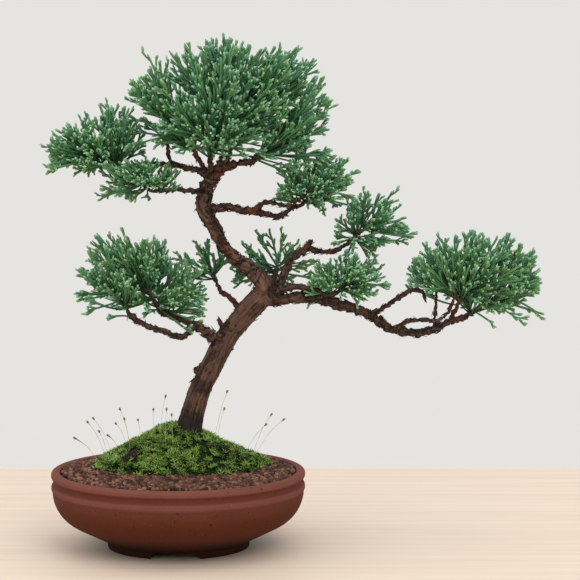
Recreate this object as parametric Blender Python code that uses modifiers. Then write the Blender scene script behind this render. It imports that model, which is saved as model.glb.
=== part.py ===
"""A juniper bonsai in a round clay pot: pot, drainage mesh, anchor wire, soil, moss with its stalks,
the wood in one piece, the training wires and one solid for each pad of foliage.

Metres, +Z up, the front of the tree towards -Y. The pot's axis is the parts' own origin, and the whole
assembly hangs on one empty that puts the middle of its box over the world's origin, on the table.
"""
import math

import bmesh
import bpy
from mathutils import Matrix, Vector, noise

MM = 0.001

# Pot
POT_HEIGHT = 61.0 * MM
RIM_RADIUS = 100.0 * MM
RIM_BAND = 6.5 * MM
LIP_WIDTH = 7.0 * MM
NECK_DEPTH = 2.0 * MM
HIP_BELOW_RIM = 14.5 * MM
HIP_INSET = 1.6 * MM
HIP_BEND = 30.0 * MM
POT_WALL = 5.5 * MM
FLOOR_THICKNESS = 7.0 * MM
FOOT_RADIUS = 56.0 * MM
FOOT_HEIGHT = 6.5 * MM
FOOT_WALL = 9.0 * MM
FOOT_FLARE = 2.5 * MM
FOOT_EDGE = 0.8 * MM
NOTCH_COUNT = 3
NOTCH_WIDTH = 38.0 * MM
NOTCH_HEIGHT = 5.0 * MM
DRAIN_RADIUS = 7.0 * MM
TURN_STEPS = 48

# Soil, drainage mesh and the wire that ties the roots down
SOIL_BELOW_RIM = 2.5 * MM
MESH_SIDE = 26.0 * MM
MESH_THICKNESS = 0.8 * MM
MESH_CELLS = 9
ANCHOR_DIAMETER = 2.0 * MM
ANCHOR_SPACING = 36.0 * MM
ANCHOR_RISE = 12.0 * MM
ANCHOR_HOLE_PLAY = 1.0 * MM

# Moss mound: a low plateau with a dome over the roots
MOSS_FRONT = 29.0 * MM
MOSS_TO_BACK_WALL = 17.5 * MM
MOSS_TO_SIDE_WALL = 22.5 * MM
MOSS_SHIFT = 2.0 * MM
MOSS_PLATEAU = 11.0 * MM
MOSS_DOME = 24.0 * MM
MOSS_DOME_CENTRE = (-3.0 * MM, 15.0 * MM)
MOSS_DOME_HALF_SIZE = (40.0 * MM, 32.0 * MM)
STALK_RADIUS = 0.4 * MM
CAPSULE_RADIUS = 0.9 * MM
CAPSULE_LENGTH = 3.0 * MM

# Tree and wires
TREE_HEIGHT = 345.0 * MM
TREE_HEIGHT_AS_LISTED = 345.0 * MM
WIRE_DIAMETER = 1.5 * MM
TRUNK_COIL_PITCH = 30.0 * MM
BRANCH_COIL_PITCH = 13.0 * MM
COIL_POINTS_PER_TURN = 11
SETTLE_PASSES = 25

# Clearances
GAP = 0.4 * MM
COIL_GAP = 0.7 * MM

# Tree lines: (x, y, height above the soil, radius), in millimetres, from the pot's axis.
TRUNK = [
    (4, 8, -27, 8), (5, 8, -15, 13), (5, 8, -3, 13), (6, 8, 11, 11.5), (7, 8, 26, 10.4), (9, 8, 37, 9.6),
    (15, 6, 60, 9), (25, 4, 81, 8.7), (32, 2, 95, 8.6), (40, 1, 109, 8.7), (52, 0, 124, 9),
    (62, -1, 135, 9.4), (71, -2, 143, 7),
]
UPPER_TRUNK = [
    (72, -2, 137, 7.6), (67, -1, 150, 7.4), (58, 2, 159, 6.3), (49, 4, 166, 5.7), (39, 6, 174, 5.5),
    (32, 7, 185, 5.4), (27, 7, 196, 5.5), (21, 6, 206, 5.9), (21, 5, 217, 6.1), (25, 4, 228, 5.5),
    (32, 3, 237, 4.8), (37, 3, 246, 4.2), (40, 4, 256, 3.4), (38, 5, 270, 2.4), (37, 5, 286, 1.5),
]
LONG_BRANCH = [
    (66, -2, 137, 6), (80, -5, 137, 4.8), (89, -7, 138, 4.5), (99, -8, 139, 4.4), (111, -8, 138, 4.2),
    (129, -6, 132, 3.9), (147, -4, 126, 3.7), (165, -5, 115, 3.5), (176, -6, 112, 3.4),
    (185, -7, 111, 3.4), (194, -7, 112, 3.2), (202, -6, 114, 3), (210, -4, 118, 2.8),
    (221, -2, 122, 2.5), (231, 0, 126, 2.2), (239, 2, 132, 1.8), (247, 4, 142, 1.2),
]
UPPER_RIGHT_BRANCH = [
    (21, 5, 208, 4), (30, 2, 208, 3.4), (40, 0, 209, 3.3), (51, -1, 207, 3.3), (58, -1, 206, 3.1),
    (71, 4, 203, 2.2), (78, 6, 201, 2.2), (84, 7, 204, 2), (90, 7, 208, 1.9), (97, 7, 211, 1.7),
    (106, 8, 217, 1.4),
]
SIDE_BRANCHES = {
    "left_root": [
        (-2, 6, 15, 6), (-14, 0, 20, 5), (-30, -6, 17, 4.2), (-43, -9, 10, 3.6), (-51, -10, 1, 3.2),
        (-56, -10, -12, 2.4),
    ],
    "right_root": [
        (11, 5, 21, 5), (30, -2, 21, 3), (44, -6, 17, 2.4), (56, -8, 11, 2), (65, -9, 4, 1.8),
        (70, -9, -7, 1.5),
    ],
    "lower_left": [
        (36, 0, 103, 4.6), (30, -4, 107, 4.7), (26, -7, 108, 4.4), (21, -9, 113, 3.8), (15, -10, 117, 3.6),
        (7, -11, 120, 2.8), (1, -10, 123, 2.6), (-7, -9, 125, 2.5), (-13, -8, 128, 2.3), (-17, -7, 135, 2),
        (-23, -6, 144, 1.4),
    ],
    "lower_left_front": [
        (14, -10, 117, 2.9), (9, -14, 112, 2.8), (4, -16, 109, 2.6), (-4, -18, 111, 2.4),
        (-13, -19, 115, 2.3), (-22, -20, 118, 2.2), (-29, -20, 121, 2), (-35, -20, 126, 1.7),
        (-40, -19, 133, 1.4), (-44, -17, 143, 1.1),
    ],
    "back_left": [
        (51, 2, 122, 3.5), (47, 10, 130, 2.6), (40, 18, 137, 2.2), (33, 24, 141, 1.9), (30, 29, 146, 1.7),
        (26, 33, 154, 1.4),
    ],
    "back_right": [(68, 2, 141, 3.5), (73, 16, 147, 2.6), (76, 26, 153, 2), (78, 34, 159, 1.6)],
    "middle_right": [
        (72, -1, 139, 5), (79, -2, 147, 3.7), (83, -2, 156, 3.2), (88, -1, 167, 3), (94, 0, 172, 2.9),
        (101, 1, 177, 3), (108, 3, 175, 2.5), (116, 4, 174, 2.2), (123, 5, 174, 2), (130, 6, 178, 1.8),
        (137, 6, 184, 1.6), (144, 6, 191, 1.2),
    ],
    "inner_right": [
        (74, -5, 141, 3.4), (83, -11, 146, 2.9), (93, -15, 148, 2.8), (105, -17, 146, 2.7),
        (116, -17, 143, 2.5), (124, -16, 143, 2), (130, -15, 150, 1.5),
    ],
    "arching_twig": [
        (149, -4, 124, 2.4), (157, -2, 128, 2.1), (164, 0, 132, 2), (172, 2, 137, 2), (180, 3, 142, 1.9),
        (186, 4, 144, 1.8), (191, 4, 143, 1.7), (194, 4, 138, 1.5), (195, 4, 133, 1.2),
    ],
    "upright_twig": [(201, -6, 114, 1.8), (201, -6, 123, 1.4), (202, -5, 134, 1.2), (203, -4, 150, 1)],
    "end_strand": [
        (170, -7, 113, 2.2), (177, -13, 120, 2), (185, -15, 122, 1.9), (194, -15, 122, 1.8),
        (202, -13, 121, 1.7), (209, -12, 125, 1.5), (214, -12, 133, 1.3), (217, -11, 146, 1),
    ],
    "end_twig": [(212, -3, 119, 2.2), (217, -3, 128, 1.8), (221, -3, 136, 1.6), (225, -3, 146, 1.2)],
    "upper_right_strand": [
        (58, -1, 206, 2.4), (69, -5, 213, 2), (78, -6, 212, 1.9), (86, -6, 210, 1.8), (94, -5, 214, 1.5),
        (102, -4, 222, 1.1),
    ],
    "left_low": [
        (21, 4, 220, 3), (9, -3, 222, 1.9), (-2, -7, 223, 1.6), (-10, -9, 222, 1.5), (-19, -10, 222, 1.4),
        (-26, -11, 227, 1.1),
    ],
    "left_top": [
        (28, 3, 230, 3.8), (21, 4, 235, 3.2), (15, 5, 238, 2.8), (8, 6, 239, 2.5), (-4, 8, 242, 2.2),
        (-22, 9, 242, 1.9), (-31, 8, 242, 1.7), (-40, 7, 241, 1.6), (-49, 5, 240, 1.5), (-57, 4, 242, 1.4),
        (-64, 3, 248, 1.1),
    ],
    "left_top_twig": [(-4, 8, 241, 2), (-7, 8, 250, 1.6), (-8, 8, 262, 1.3), (-8, 8, 270, 1)],
    "crown_right": [
        (33, 3, 239, 4), (47, 1, 243, 3.2), (55, 0, 244, 2.8), (62, -1, 247, 2.5), (68, -2, 252, 2.2),
        (74, -3, 259, 1.8), (79, -3, 271, 1.4),
    ],
    "crown_front": [(26, 1, 232, 3), (26, -6, 242, 2.1), (27, -12, 252, 1.8), (29, -18, 264, 1.3)],
    "crown_back": [(36, 5, 242, 2.6), (40, 13, 252, 2), (44, 21, 266, 1.6), (46, 26, 280, 1.1)],
    "crown_left": [(25, 3, 233, 2.6), (16, 2, 248, 2), (8, 0, 262, 1.6), (2, -1, 276, 1.1)],
    "left_stub": [(9, 7, 79, 2.4), (20, 5, 81, 4)],
    "mid_stub": [(28, -2, 125, 1.8), (34, -2, 117, 2.4), (42, 0, 112, 4)],
    "broken_stub": [(101, 1, 177, 2.6), (104, -1, 183, 2.2), (105, -2, 188, 1.8)],
}

# Foliage pads: lobes as (x, y, height above the soil, half sizes in x, y and z), in millimetres.
FOLIAGE = {
    "foliage_crown": [
        (35, 4, 312, 36, 42, 33), (-10, -5, 301, 27, 32, 22), (81, 0, 306, 31, 36, 27),
        (31, -24, 280, 41, 28, 27), (93, -8, 277, 25, 30, 18), (47, 28, 298, 47, 32, 30),
        (-4, 8, 276, 20, 28, 16),
    ],
    "foliage_left_end": [(-79, 2, 257, 26, 28, 19), (-52, 4, 270, 23, 30, 20)],
    "foliage_left_low": [(-29, -10, 232, 30, 28, 15)],
    "foliage_upper_right": [(109, 2, 231, 28, 31, 22)],
    "foliage_middle_right": [(153, 6, 199, 27, 31, 25)],
    "foliage_inner_right": [(132, -15, 157, 27, 26, 17)],
    "foliage_branch_end": [(247, 2, 160, 40, 36, 30), (207, -2, 166, 23, 30, 21)],
    "foliage_lower_left": [(-38, -10, 161, 36, 36, 28), (-9, -6, 150, 26, 30, 24)],
    "foliage_back_left": [(20, 38, 163, 20, 21, 21)],
    "foliage_back_right": [(74, 42, 163, 31, 23, 26)],
}

# Moss stalks: foot (x, y) on the mound, then the capsule's tip (x, y, height above the soil), in millimetres.
STALKS = [
    (-62, 8, -82, -8, 29), (-58, 14, -72, -2, 41), (-54, 18, -68, 4, 43), (-55, 4, -62, -10, 35),
    (-46, 2, -55, -14, 32), (-42, 16, -50, 2, 39), (-40, 22, -47, 8, 50), (-38, 0, -42, -10, 45),
    (-30, 4, -31, -12, 44), (-20, 4, -19, -8, 52), (-15, -2, -9, -10, 63), (-10, -8, -8, -18, 54),
    (-4, -10, -4, -22, 50), (28, 8, 39, 2, 65), (30, 16, 36, 24, 48), (58, 22, 74, 12, 45),
    (52, 12, 70, 4, 38), (60, 32, 84, 30, 38),
]

POT_CLAY = ("pot_clay", (0.19, 0.085, 0.055), 0.8, 0.0)
SOIL = ("soil", (0.13, 0.065, 0.035), 0.95, 0.0)
MOSS = ("moss", (0.07, 0.12, 0.03), 0.95, 0.0)
STALK = ("stalk", (0.36, 0.2, 0.1), 0.7, 0.0)
BARK = ("bark", (0.13, 0.085, 0.06), 0.9, 0.0)
WIRE = ("wire", (0.07, 0.045, 0.035), 0.45, 0.9)
LEAF = ("leaf", (0.05, 0.16, 0.07), 0.7, 0.0)
PLASTIC = ("mesh_plastic", (0.02, 0.02, 0.02), 0.5, 0.0)

SOIL_LEVEL = POT_HEIGHT - SOIL_BELOW_RIM
SOIL_RADIUS = RIM_RADIUS - HIP_INSET - POT_WALL - GAP
MOSS_BACK = SOIL_RADIUS - MOSS_TO_BACK_WALL
MOSS_CENTRE = (MOSS_SHIFT, 0.5 * (MOSS_BACK - MOSS_FRONT))
MOSS_HALF_SIZE = (SOIL_RADIUS - MOSS_TO_SIDE_WALL, 0.5 * (MOSS_BACK + MOSS_FRONT))
FLOOR_TOP = FOOT_HEIGHT + FLOOR_THICKNESS
TREE_SCALE = TREE_HEIGHT / TREE_HEIGHT_AS_LISTED


# ---- Scene, materials and small tools ----

def new_collection(name):
    collection = bpy.data.collections.new(name)
    bpy.context.scene.collection.children.link(collection)
    return collection


def material(spec):
    """The Principled material with this name, made the first time it is asked for."""
    name, colour, roughness, metallic = spec
    found = bpy.data.materials.get(name)
    if found:
        return found
    made = bpy.data.materials.new(name)
    made.use_nodes = True
    shader = made.node_tree.nodes["Principled BSDF"]
    shader.inputs["Base Color"].default_value = (*colour, 1.0)
    shader.inputs["Roughness"].default_value = roughness
    shader.inputs["Metallic"].default_value = metallic
    made.diffuse_color = (*colour, 1.0)
    return made


def add_part(name, mesh, spec):
    part = bpy.data.objects.new(name, mesh)
    mesh.materials.append(material(spec))
    mesh.shade_smooth()
    mesh.set_sharp_from_angle(angle=math.radians(40))
    PARTS.objects.link(part)
    part.parent = ASSEMBLY
    return part


def add_cutter(name, mesh, collection):
    cutter = bpy.data.objects.new(name, mesh)
    cutter.hide_render = True
    cutter.display_type = "WIRE"
    collection.objects.link(cutter)
    cutter.parent = ASSEMBLY
    return cutter


def boolean(part, operation, other):
    """A live Boolean on the part, with one object or with a whole collection."""
    cut = part.modifiers.new(operation.title(), "BOOLEAN")
    cut.operation = operation
    cut.solver = "EXACT"
    if isinstance(other, bpy.types.Collection):
        cut.operand_type = "COLLECTION"
        cut.collection = other
    else:
        cut.object = other


def mesh_from(shape, name):
    mesh = bpy.data.meshes.new(name)
    shape.to_mesh(mesh)
    shape.free()
    return mesh


# ---- Lines and tubes ----

def tree_line(points, steps=2):
    """Points on a smooth curve through hand-placed ones, as (x, y, z, radius) in metres."""
    rows = [Vector(point) * MM * TREE_SCALE for point in points]
    rows = [2 * rows[0] - rows[1], *rows, 2 * rows[-1] - rows[-2]]
    line = []
    for before, start, end, after in zip(rows, rows[1:], rows[2:], rows[3:]):
        for step in range(steps):
            t = step / steps
            bend = 2 * before - 5 * start + 4 * end - after
            twist = 3 * start - before - 3 * end + after
            line.append(start + 0.5 * ((end - before) * t + bend * t * t + twist * t ** 3))
    line.append(rows[-2])
    lift = Vector((0, 0, SOIL_LEVEL, 0))
    return [point + lift for point in line]


def tube_mesh(name, line, resolution, extra=0.0):
    """A closed tube of 4 + 2 * resolution sides along the line, wider than its radii by extra."""
    curve = bpy.data.curves.new(name, "CURVE")
    curve.dimensions = "3D"
    curve.bevel_depth = 1.0
    curve.bevel_resolution = resolution
    curve.use_fill_caps = True
    spline = curve.splines.new("POLY")
    spline.points.add(len(line) - 1)
    for point, place in zip(spline.points, line):
        point.co = (*place[:3], 1.0)
        point.radius = place[3] + extra
    guide = bpy.data.objects.new(name, curve)
    bpy.context.scene.collection.objects.link(guide)
    bpy.context.view_layer.update()
    graph = bpy.context.evaluated_depsgraph_get()
    mesh = bpy.data.meshes.new_from_object(guide.evaluated_get(graph))
    bpy.data.objects.remove(guide)
    shape = bmesh.new()
    shape.from_mesh(mesh)
    bmesh.ops.remove_doubles(shape, verts=shape.verts, dist=1e-6)
    bmesh.ops.recalc_face_normals(shape, faces=shape.faces)
    shape.to_mesh(mesh)
    shape.free()
    return mesh


def lengthened(line, extra):
    """The line run on past its last point, so that a cutter is also longer than the piece in it."""
    past = (line[-1] - line[-2]).normalized() * extra
    past.w = 0
    before = (line[0] - line[1]).normalized() * extra
    before.w = 0
    return [line[0] + before, *line, line[-1] + past]


# ---- Turned pieces ----

def add_turned(name, outline, spec, closed=False):
    """A profile of (radius, height) points, turned about the pot's axis by a Screw."""
    count = len(outline)
    edges = [(index, index + 1) for index in range(count - 1)]
    if closed:
        edges.append((count - 1, 0))
    mesh = bpy.data.meshes.new(name)
    mesh.from_pydata([(radius, 0, height) for radius, height in outline], edges, [])
    part = add_part(name, mesh, spec)
    screw = part.modifiers.new("Turn", "SCREW")
    screw.steps = TURN_STEPS
    screw.render_steps = TURN_STEPS
    screw.use_merge_vertices = True
    screw.merge_threshold = 1e-5
    return part


HIP_CENTRE = Vector((RIM_RADIUS - HIP_INSET - HIP_BEND, POT_HEIGHT - HIP_BELOW_RIM))


def wall_line(inset, low, arc_steps=6):
    """The bowl's side from its widest point down to a height, this far inside its outer face.

    It is an arc round the hip, then a straight cone that runs down to the foot.
    """
    foot = Vector((FOOT_RADIUS + FOOT_FLARE, FOOT_HEIGHT)) - HIP_CENTRE
    end = math.atan2(foot.y, foot.x) + math.acos(HIP_BEND / foot.length)
    reach = HIP_BEND - inset
    line = []
    for step in range(arc_steps + 1):
        angle = end * step / arc_steps
        line.append(HIP_CENTRE + reach * Vector((math.cos(angle), math.sin(angle))))
    drop = (line[-1].y - low) / math.cos(end)
    line.append(line[-1] + drop * Vector((math.sin(end), -math.cos(end))))
    return line


# ---- The pieces ----

def make_pot():
    outside = [
        (RIM_RADIUS - 0.65 * LIP_WIDTH, POT_HEIGHT),
        (RIM_RADIUS - 0.17 * LIP_WIDTH, POT_HEIGHT - 0.12 * RIM_BAND),
        (RIM_RADIUS, POT_HEIGHT - 0.45 * RIM_BAND),
        (RIM_RADIUS, POT_HEIGHT - RIM_BAND),
        (RIM_RADIUS - NECK_DEPTH, POT_HEIGHT - RIM_BAND - NECK_DEPTH),
        (RIM_RADIUS - NECK_DEPTH, POT_HEIGHT - RIM_BAND - 1.6 * NECK_DEPTH),
        (RIM_RADIUS - 0.5 * HIP_INSET, POT_HEIGHT - RIM_BAND - 2.6 * NECK_DEPTH),
    ]
    foot = [
        (FOOT_RADIUS, FOOT_HEIGHT - FOOT_EDGE),
        (FOOT_RADIUS, FOOT_EDGE),
        (FOOT_RADIUS - FOOT_EDGE, 0),
        (FOOT_RADIUS - FOOT_WALL, 0),
        (FOOT_RADIUS - FOOT_WALL, FOOT_HEIGHT),
        (DRAIN_RADIUS, FOOT_HEIGHT),
        (DRAIN_RADIUS, FLOOR_TOP),
    ]
    inner_wall = wall_line(POT_WALL, FLOOR_TOP)
    lip = [
        (inner_wall[0].x, POT_HEIGHT - 0.5 * RIM_BAND),
        (RIM_RADIUS - LIP_WIDTH, POT_HEIGHT - 0.2 * RIM_BAND),
    ]
    outline = outside + wall_line(0, FOOT_HEIGHT) + foot + inner_wall[::-1] + lip
    pot = add_turned("pot", outline, POT_CLAY, closed=True)
    for index in range(NOTCH_COUNT):
        boolean(pot, "DIFFERENCE", notch_cutter(index))
    for side in (-1, 1):
        boolean(pot, "DIFFERENCE", wire_hole_cutter(side))
    return pot


def notch_cutter(index):
    """One cut-out in the foot ring; the first faces the front."""
    shape = bmesh.new()
    bmesh.ops.create_cube(shape, size=1.0)
    depth = 2.2 * FOOT_WALL
    bmesh.ops.scale(shape, verts=shape.verts, vec=(NOTCH_WIDTH, depth, 2 * NOTCH_HEIGHT))
    bmesh.ops.translate(shape, verts=shape.verts, vec=(0, -(FOOT_RADIUS - 0.5 * FOOT_WALL), 0))
    turn = Matrix.Rotation(math.tau * index / NOTCH_COUNT, 3, "Z")
    bmesh.ops.rotate(shape, verts=shape.verts, cent=(0, 0, 0), matrix=turn)
    return add_cutter(f"notch_cutter_{index}", mesh_from(shape, "notch"), CUTTERS)


def wire_hole_cutter(side):
    shape = bmesh.new()
    radius = 0.5 * ANCHOR_DIAMETER + ANCHOR_HOLE_PLAY
    bmesh.ops.create_cone(shape, cap_ends=True, segments=16, radius1=radius, radius2=radius,
                          depth=3 * FLOOR_THICKNESS)
    place = (side * 0.5 * ANCHOR_SPACING, 0, FLOOR_TOP)
    bmesh.ops.translate(shape, verts=shape.verts, vec=place)
    return add_cutter(f"wire_hole_cutter_{side + 1}", mesh_from(shape, "wire_hole"), CUTTERS)


def make_drainage_mesh():
    """The plastic net over the drain hole: a grid with every other cell open, made solid."""
    shape = bmesh.new()
    bmesh.ops.create_grid(shape, x_segments=MESH_CELLS, y_segments=MESH_CELLS, size=0.5 * MESH_SIDE)
    cell = MESH_SIDE / MESH_CELLS
    open_cells = []
    for face in shape.faces:
        middle = face.calc_center_median()
        column = math.floor(middle.x / cell + 0.5 * MESH_CELLS)
        row = math.floor(middle.y / cell + 0.5 * MESH_CELLS)
        if column % 2 and row % 2:
            open_cells.append(face)
    bmesh.ops.delete(shape, geom=open_cells, context="FACES")
    bmesh.ops.translate(shape, verts=shape.verts, vec=(0, 0, FLOOR_TOP + GAP))
    net = add_part("drainage_mesh", mesh_from(shape, "drainage_mesh"), PLASTIC)
    thick = net.modifiers.new("Thickness", "SOLIDIFY")
    thick.thickness = MESH_THICKNESS
    thick.offset = 1.0


def anchor_line():
    """A staple of wire: under the floor from hole to hole, and up through both into the soil."""
    half = 0.5 * ANCHOR_SPACING
    low = FOOT_HEIGHT - GAP - 0.5 * ANCHOR_DIAMETER
    bend = 0.8 * ANCHOR_DIAMETER
    top = FLOOR_TOP + ANCHOR_RISE
    right = [(half - bend, low), (half - 0.3 * bend, low + 0.3 * bend), (half, low + bend), (half, top)]
    left = [(-x, z) for x, z in reversed(right)]
    return [Vector((x, 0, z, 0.5 * ANCHOR_DIAMETER)) for x, z in left + right]


def make_anchor_wire():
    add_part("anchor_wire", tube_mesh("anchor_wire", anchor_line(), 2), WIRE)


def make_soil():
    bottom = FLOOR_TOP + GAP + MESH_THICKNESS + GAP
    wall = wall_line(POT_WALL + GAP, bottom)
    outline = [(0, SOIL_LEVEL), (SOIL_RADIUS, SOIL_LEVEL), *wall, (0, bottom)]
    soil = add_turned("soil_bed", outline, SOIL)
    boolean(soil, "DIFFERENCE", WOOD_SPACE)
    boolean(soil, "DIFFERENCE", anchor_cutter())


def anchor_cutter():
    line = lengthened(anchor_line(), GAP)
    return add_cutter("anchor_space", tube_mesh("anchor_space", line, 2, GAP), CUTTERS)


def moss_height(x, y):
    """How high the moss stands over the soil at this place, and 0 outside it."""
    edge = ((x - MOSS_CENTRE[0]) / MOSS_HALF_SIZE[0]) ** 2 + ((y - MOSS_CENTRE[1]) / MOSS_HALF_SIZE[1]) ** 2
    if edge >= 1:
        return 0.0
    across = (x - MOSS_DOME_CENTRE[0]) / MOSS_DOME_HALF_SIZE[0]
    along = (y - MOSS_DOME_CENTRE[1]) / MOSS_DOME_HALF_SIZE[1]
    dome = MOSS_DOME * math.exp(-across ** 2 - along ** 2)
    lumps = 1 + 0.12 * noise.noise(Vector((x, y, 0)) * 70)
    return (MOSS_PLATEAU * math.sqrt(1 - edge) + dome * min(1.0, 3 * (1 - edge))) * lumps


def make_moss():
    """A sphere pressed flat underneath, with its upper half raised to the mound's height."""
    shape = bmesh.new()
    bmesh.ops.create_uvsphere(shape, u_segments=32, v_segments=16, radius=1.0)
    base = SOIL_LEVEL + GAP
    for vert in shape.verts:
        reach = math.sin(0.5 * math.pi * math.hypot(vert.co.x, vert.co.y)) * 0.999
        turn = math.atan2(vert.co.y, vert.co.x)
        x = MOSS_CENTRE[0] + MOSS_HALF_SIZE[0] * reach * math.cos(turn)
        y = MOSS_CENTRE[1] + MOSS_HALF_SIZE[1] * reach * math.sin(turn)
        above = vert.co.z > -0.01
        vert.co = (x, y, base + (moss_height(x, y) if above else 0.0))
    flat = [face for face in shape.faces if all(abs(vert.co.z - base) < 1e-7 for vert in face.verts)]
    bmesh.ops.dissolve_faces(shape, faces=flat)
    moss = add_part("moss_mound", mesh_from(shape, "moss_mound"), MOSS)
    boolean(moss, "DIFFERENCE", WOOD_SPACE)


def make_stalks():
    """Thin stalks that rise from the moss, each with a spore capsule at its tip."""
    for index, (foot_x, foot_y, tip_x, tip_y, tip_height) in enumerate(STALKS):
        foot_x, foot_y = foot_x * MM, foot_y * MM
        foot_z = SOIL_LEVEL + GAP + moss_height(foot_x, foot_y) * 1.06 + GAP
        foot = Vector((foot_x, foot_y, foot_z))
        tip = Vector((tip_x * MM, tip_y * MM, SOIL_LEVEL + tip_height * MM))
        lean = foot.lerp(tip, 0.5) + Vector((0, 0, 0.12 * (tip - foot).length))
        neck = tip + (lean - tip).normalized() * CAPSULE_LENGTH
        places = [foot, foot.lerp(lean, 0.5), lean, neck, neck.lerp(tip, 0.3), neck.lerp(tip, 0.75), tip]
        places = settled(places, CAPSULE_RADIUS + GAP)
        widths = [STALK_RADIUS] * 4 + [CAPSULE_RADIUS, CAPSULE_RADIUS, 0.4 * CAPSULE_RADIUS]
        line = [Vector((*place, radius)) for place, radius in zip(places, widths)]
        add_part(f"moss_stalk_{index + 1:02d}", tube_mesh("moss_stalk", line, 1), STALK)


def wood_lines():
    """Every limb's smooth line with the number that sets its sides."""
    lines = {"trunk": (tree_line(TRUNK), 4), "upper_trunk": (tree_line(UPPER_TRUNK), 3)}
    lines["long_branch"] = (tree_line(LONG_BRANCH), 2)
    lines["upper_right_branch"] = (tree_line(UPPER_RIGHT_BRANCH), 2)
    for name, points in SIDE_BRANCHES.items():
        lines[name] = (tree_line(points), 1)
    return lines


def limb_mesh(name, extra=0.0):
    """One limb's tube, which a clearance makes wider and longer."""
    line, resolution = WOOD_LINES[name]
    return tube_mesh(name, lengthened(line, extra) if extra else line, resolution, extra)


def make_wood():
    wood = add_part("trunk_and_branches", limb_mesh("trunk"), BARK)
    for name in list(WOOD_LINES)[1:]:
        add_cutter(f"{name}_limb", limb_mesh(name), LIMBS)
    boolean(wood, "UNION", LIMBS)


def make_wood_space():
    """The wood a little thicker and longer, which cuts the soil, the moss and the foliage."""
    space = add_cutter("wood_space", limb_mesh("trunk", GAP), CUTTERS)
    for name in list(WOOD_LINES)[1:]:
        add_cutter(f"{name}_space", limb_mesh(name, GAP), LIMB_SPACES)
    boolean(space, "UNION", LIMB_SPACES)
    return space


def nearest_on(line, place):
    """The nearest place on a limb's centre line, with the limb's radius there."""
    best = None
    for start, end in zip(line, line[1:]):
        a, b = start.to_3d(), end.to_3d()
        along = b - a
        share = min(1.0, max(0.0, (place - a).dot(along) / along.length_squared))
        point = a + share * along
        distance = (place - point).length
        if best is None or distance < best[0]:
            best = (distance, point, start.w + share * (end.w - start.w))
    return best


def push_from_wood(place, room):
    """The step that gives a place this much room from every limb's bark, and zero where it has it."""
    push = Vector((0, 0, 0))
    for line, _resolution in WOOD_LINES.values():
        distance, point, radius = nearest_on(line, place)
        short = radius + room - distance
        if short > 0:
            push += (place - point).normalized() * short
    return push


def settled(places, room):
    """A thin line's places moved until its straight stretches, not only its points, clear the wood."""
    for _ in range(SETTLE_PASSES):
        pushes = [Vector((0, 0, 0)) for _ in places]
        for index in range(len(places) - 1):
            for share in (0.0, 0.33, 0.67, 1.0):
                push = push_from_wood(places[index].lerp(places[index + 1], share), room)
                if push.length > pushes[index].length:
                    pushes[index] = push
                if push.length > pushes[index + 1].length:
                    pushes[index + 1] = push
        if max(push.length for push in pushes) < 1e-5:
            break
        places = [place + 0.6 * push for place, push in zip(places, pushes)]
    return places


def coil(name, core, pitches):
    """A wire wound round a line of (x, y, z, radius) points, with one pitch at each end."""
    lengths = [0.0]
    for start, end in zip(core, core[1:]):
        lengths.append(lengths[-1] + (end.to_3d() - start.to_3d()).length)
    side = Vector((0, 1, 0))
    turn = 0.0
    travelled = 0.0
    places = []
    while travelled < lengths[-1]:
        index = max(i for i, length in enumerate(lengths[:-1]) if length <= travelled)
        start, end = core[index], core[index + 1]
        share = (travelled - lengths[index]) / (lengths[index + 1] - lengths[index])
        middle = start.lerp(end, share)
        along = (end.to_3d() - start.to_3d()).normalized()
        side = (side - along * side.dot(along)).normalized()
        across = along.cross(side)
        reach = middle.w + 0.5 * WIRE_DIAMETER + COIL_GAP
        out = math.cos(turn) * side + math.sin(turn) * across
        places.append(middle.to_3d() + reach * out)
        pitch = pitches[0] + (pitches[1] - pitches[0]) * min(1.0, 2.5 * travelled / lengths[-1])
        travelled += pitch / COIL_POINTS_PER_TURN
        turn += math.tau / COIL_POINTS_PER_TURN
    places = settled(places, 0.5 * WIRE_DIAMETER + COIL_GAP)
    line = [Vector((*place, 0.5 * WIRE_DIAMETER)) for place in places]
    add_part(name, tube_mesh(name, line, 0), WIRE)


def make_wires():
    """Two training wires: round the upper trunk and out along the long branch, and up the right one."""
    upper = tree_line(UPPER_TRUNK[1:7])
    core = upper[::-1] + tree_line(LONG_BRANCH[1:12])
    coil("wire_long_branch", core, (TRUNK_COIL_PITCH, BRANCH_COIL_PITCH))
    start = tree_line(UPPER_TRUNK[8:10])
    core = start[::-1] + tree_line(UPPER_RIGHT_BRANCH[1:8])
    coil("wire_upper_right", core, (BRANCH_COIL_PITCH, BRANCH_COIL_PITCH))


def lobe_mesh(name, lobe, grow=0.0):
    """One lumpy ball of foliage."""
    middle = Vector(lobe[:3]) * MM * TREE_SCALE + Vector((0, 0, SOIL_LEVEL))
    halves = Vector(lobe[3:]) * MM * TREE_SCALE
    shape = bmesh.new()
    bmesh.ops.create_icosphere(shape, subdivisions=3, radius=1.0)
    for vert in shape.verts:
        out = vert.co.normalized()
        lumps = 1 + 0.05 * noise.noise(out * 2.3 + middle * 90)
        vert.co = middle + Vector((a * b for a, b in zip(halves, out))) * lumps
    return mesh_from(shape, name)


def make_foliage():
    for name, lobes in FOLIAGE.items():
        pad = add_part(name, lobe_mesh(name, lobes[0]), LEAF)
        for index, lobe in enumerate(lobes[1:]):
            other = add_cutter(f"{name}_lobe_{index}", lobe_mesh(name, lobe), CUTTERS)
            boolean(pad, "UNION", other)
        boolean(pad, "DIFFERENCE", WOOD_SPACE)


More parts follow.
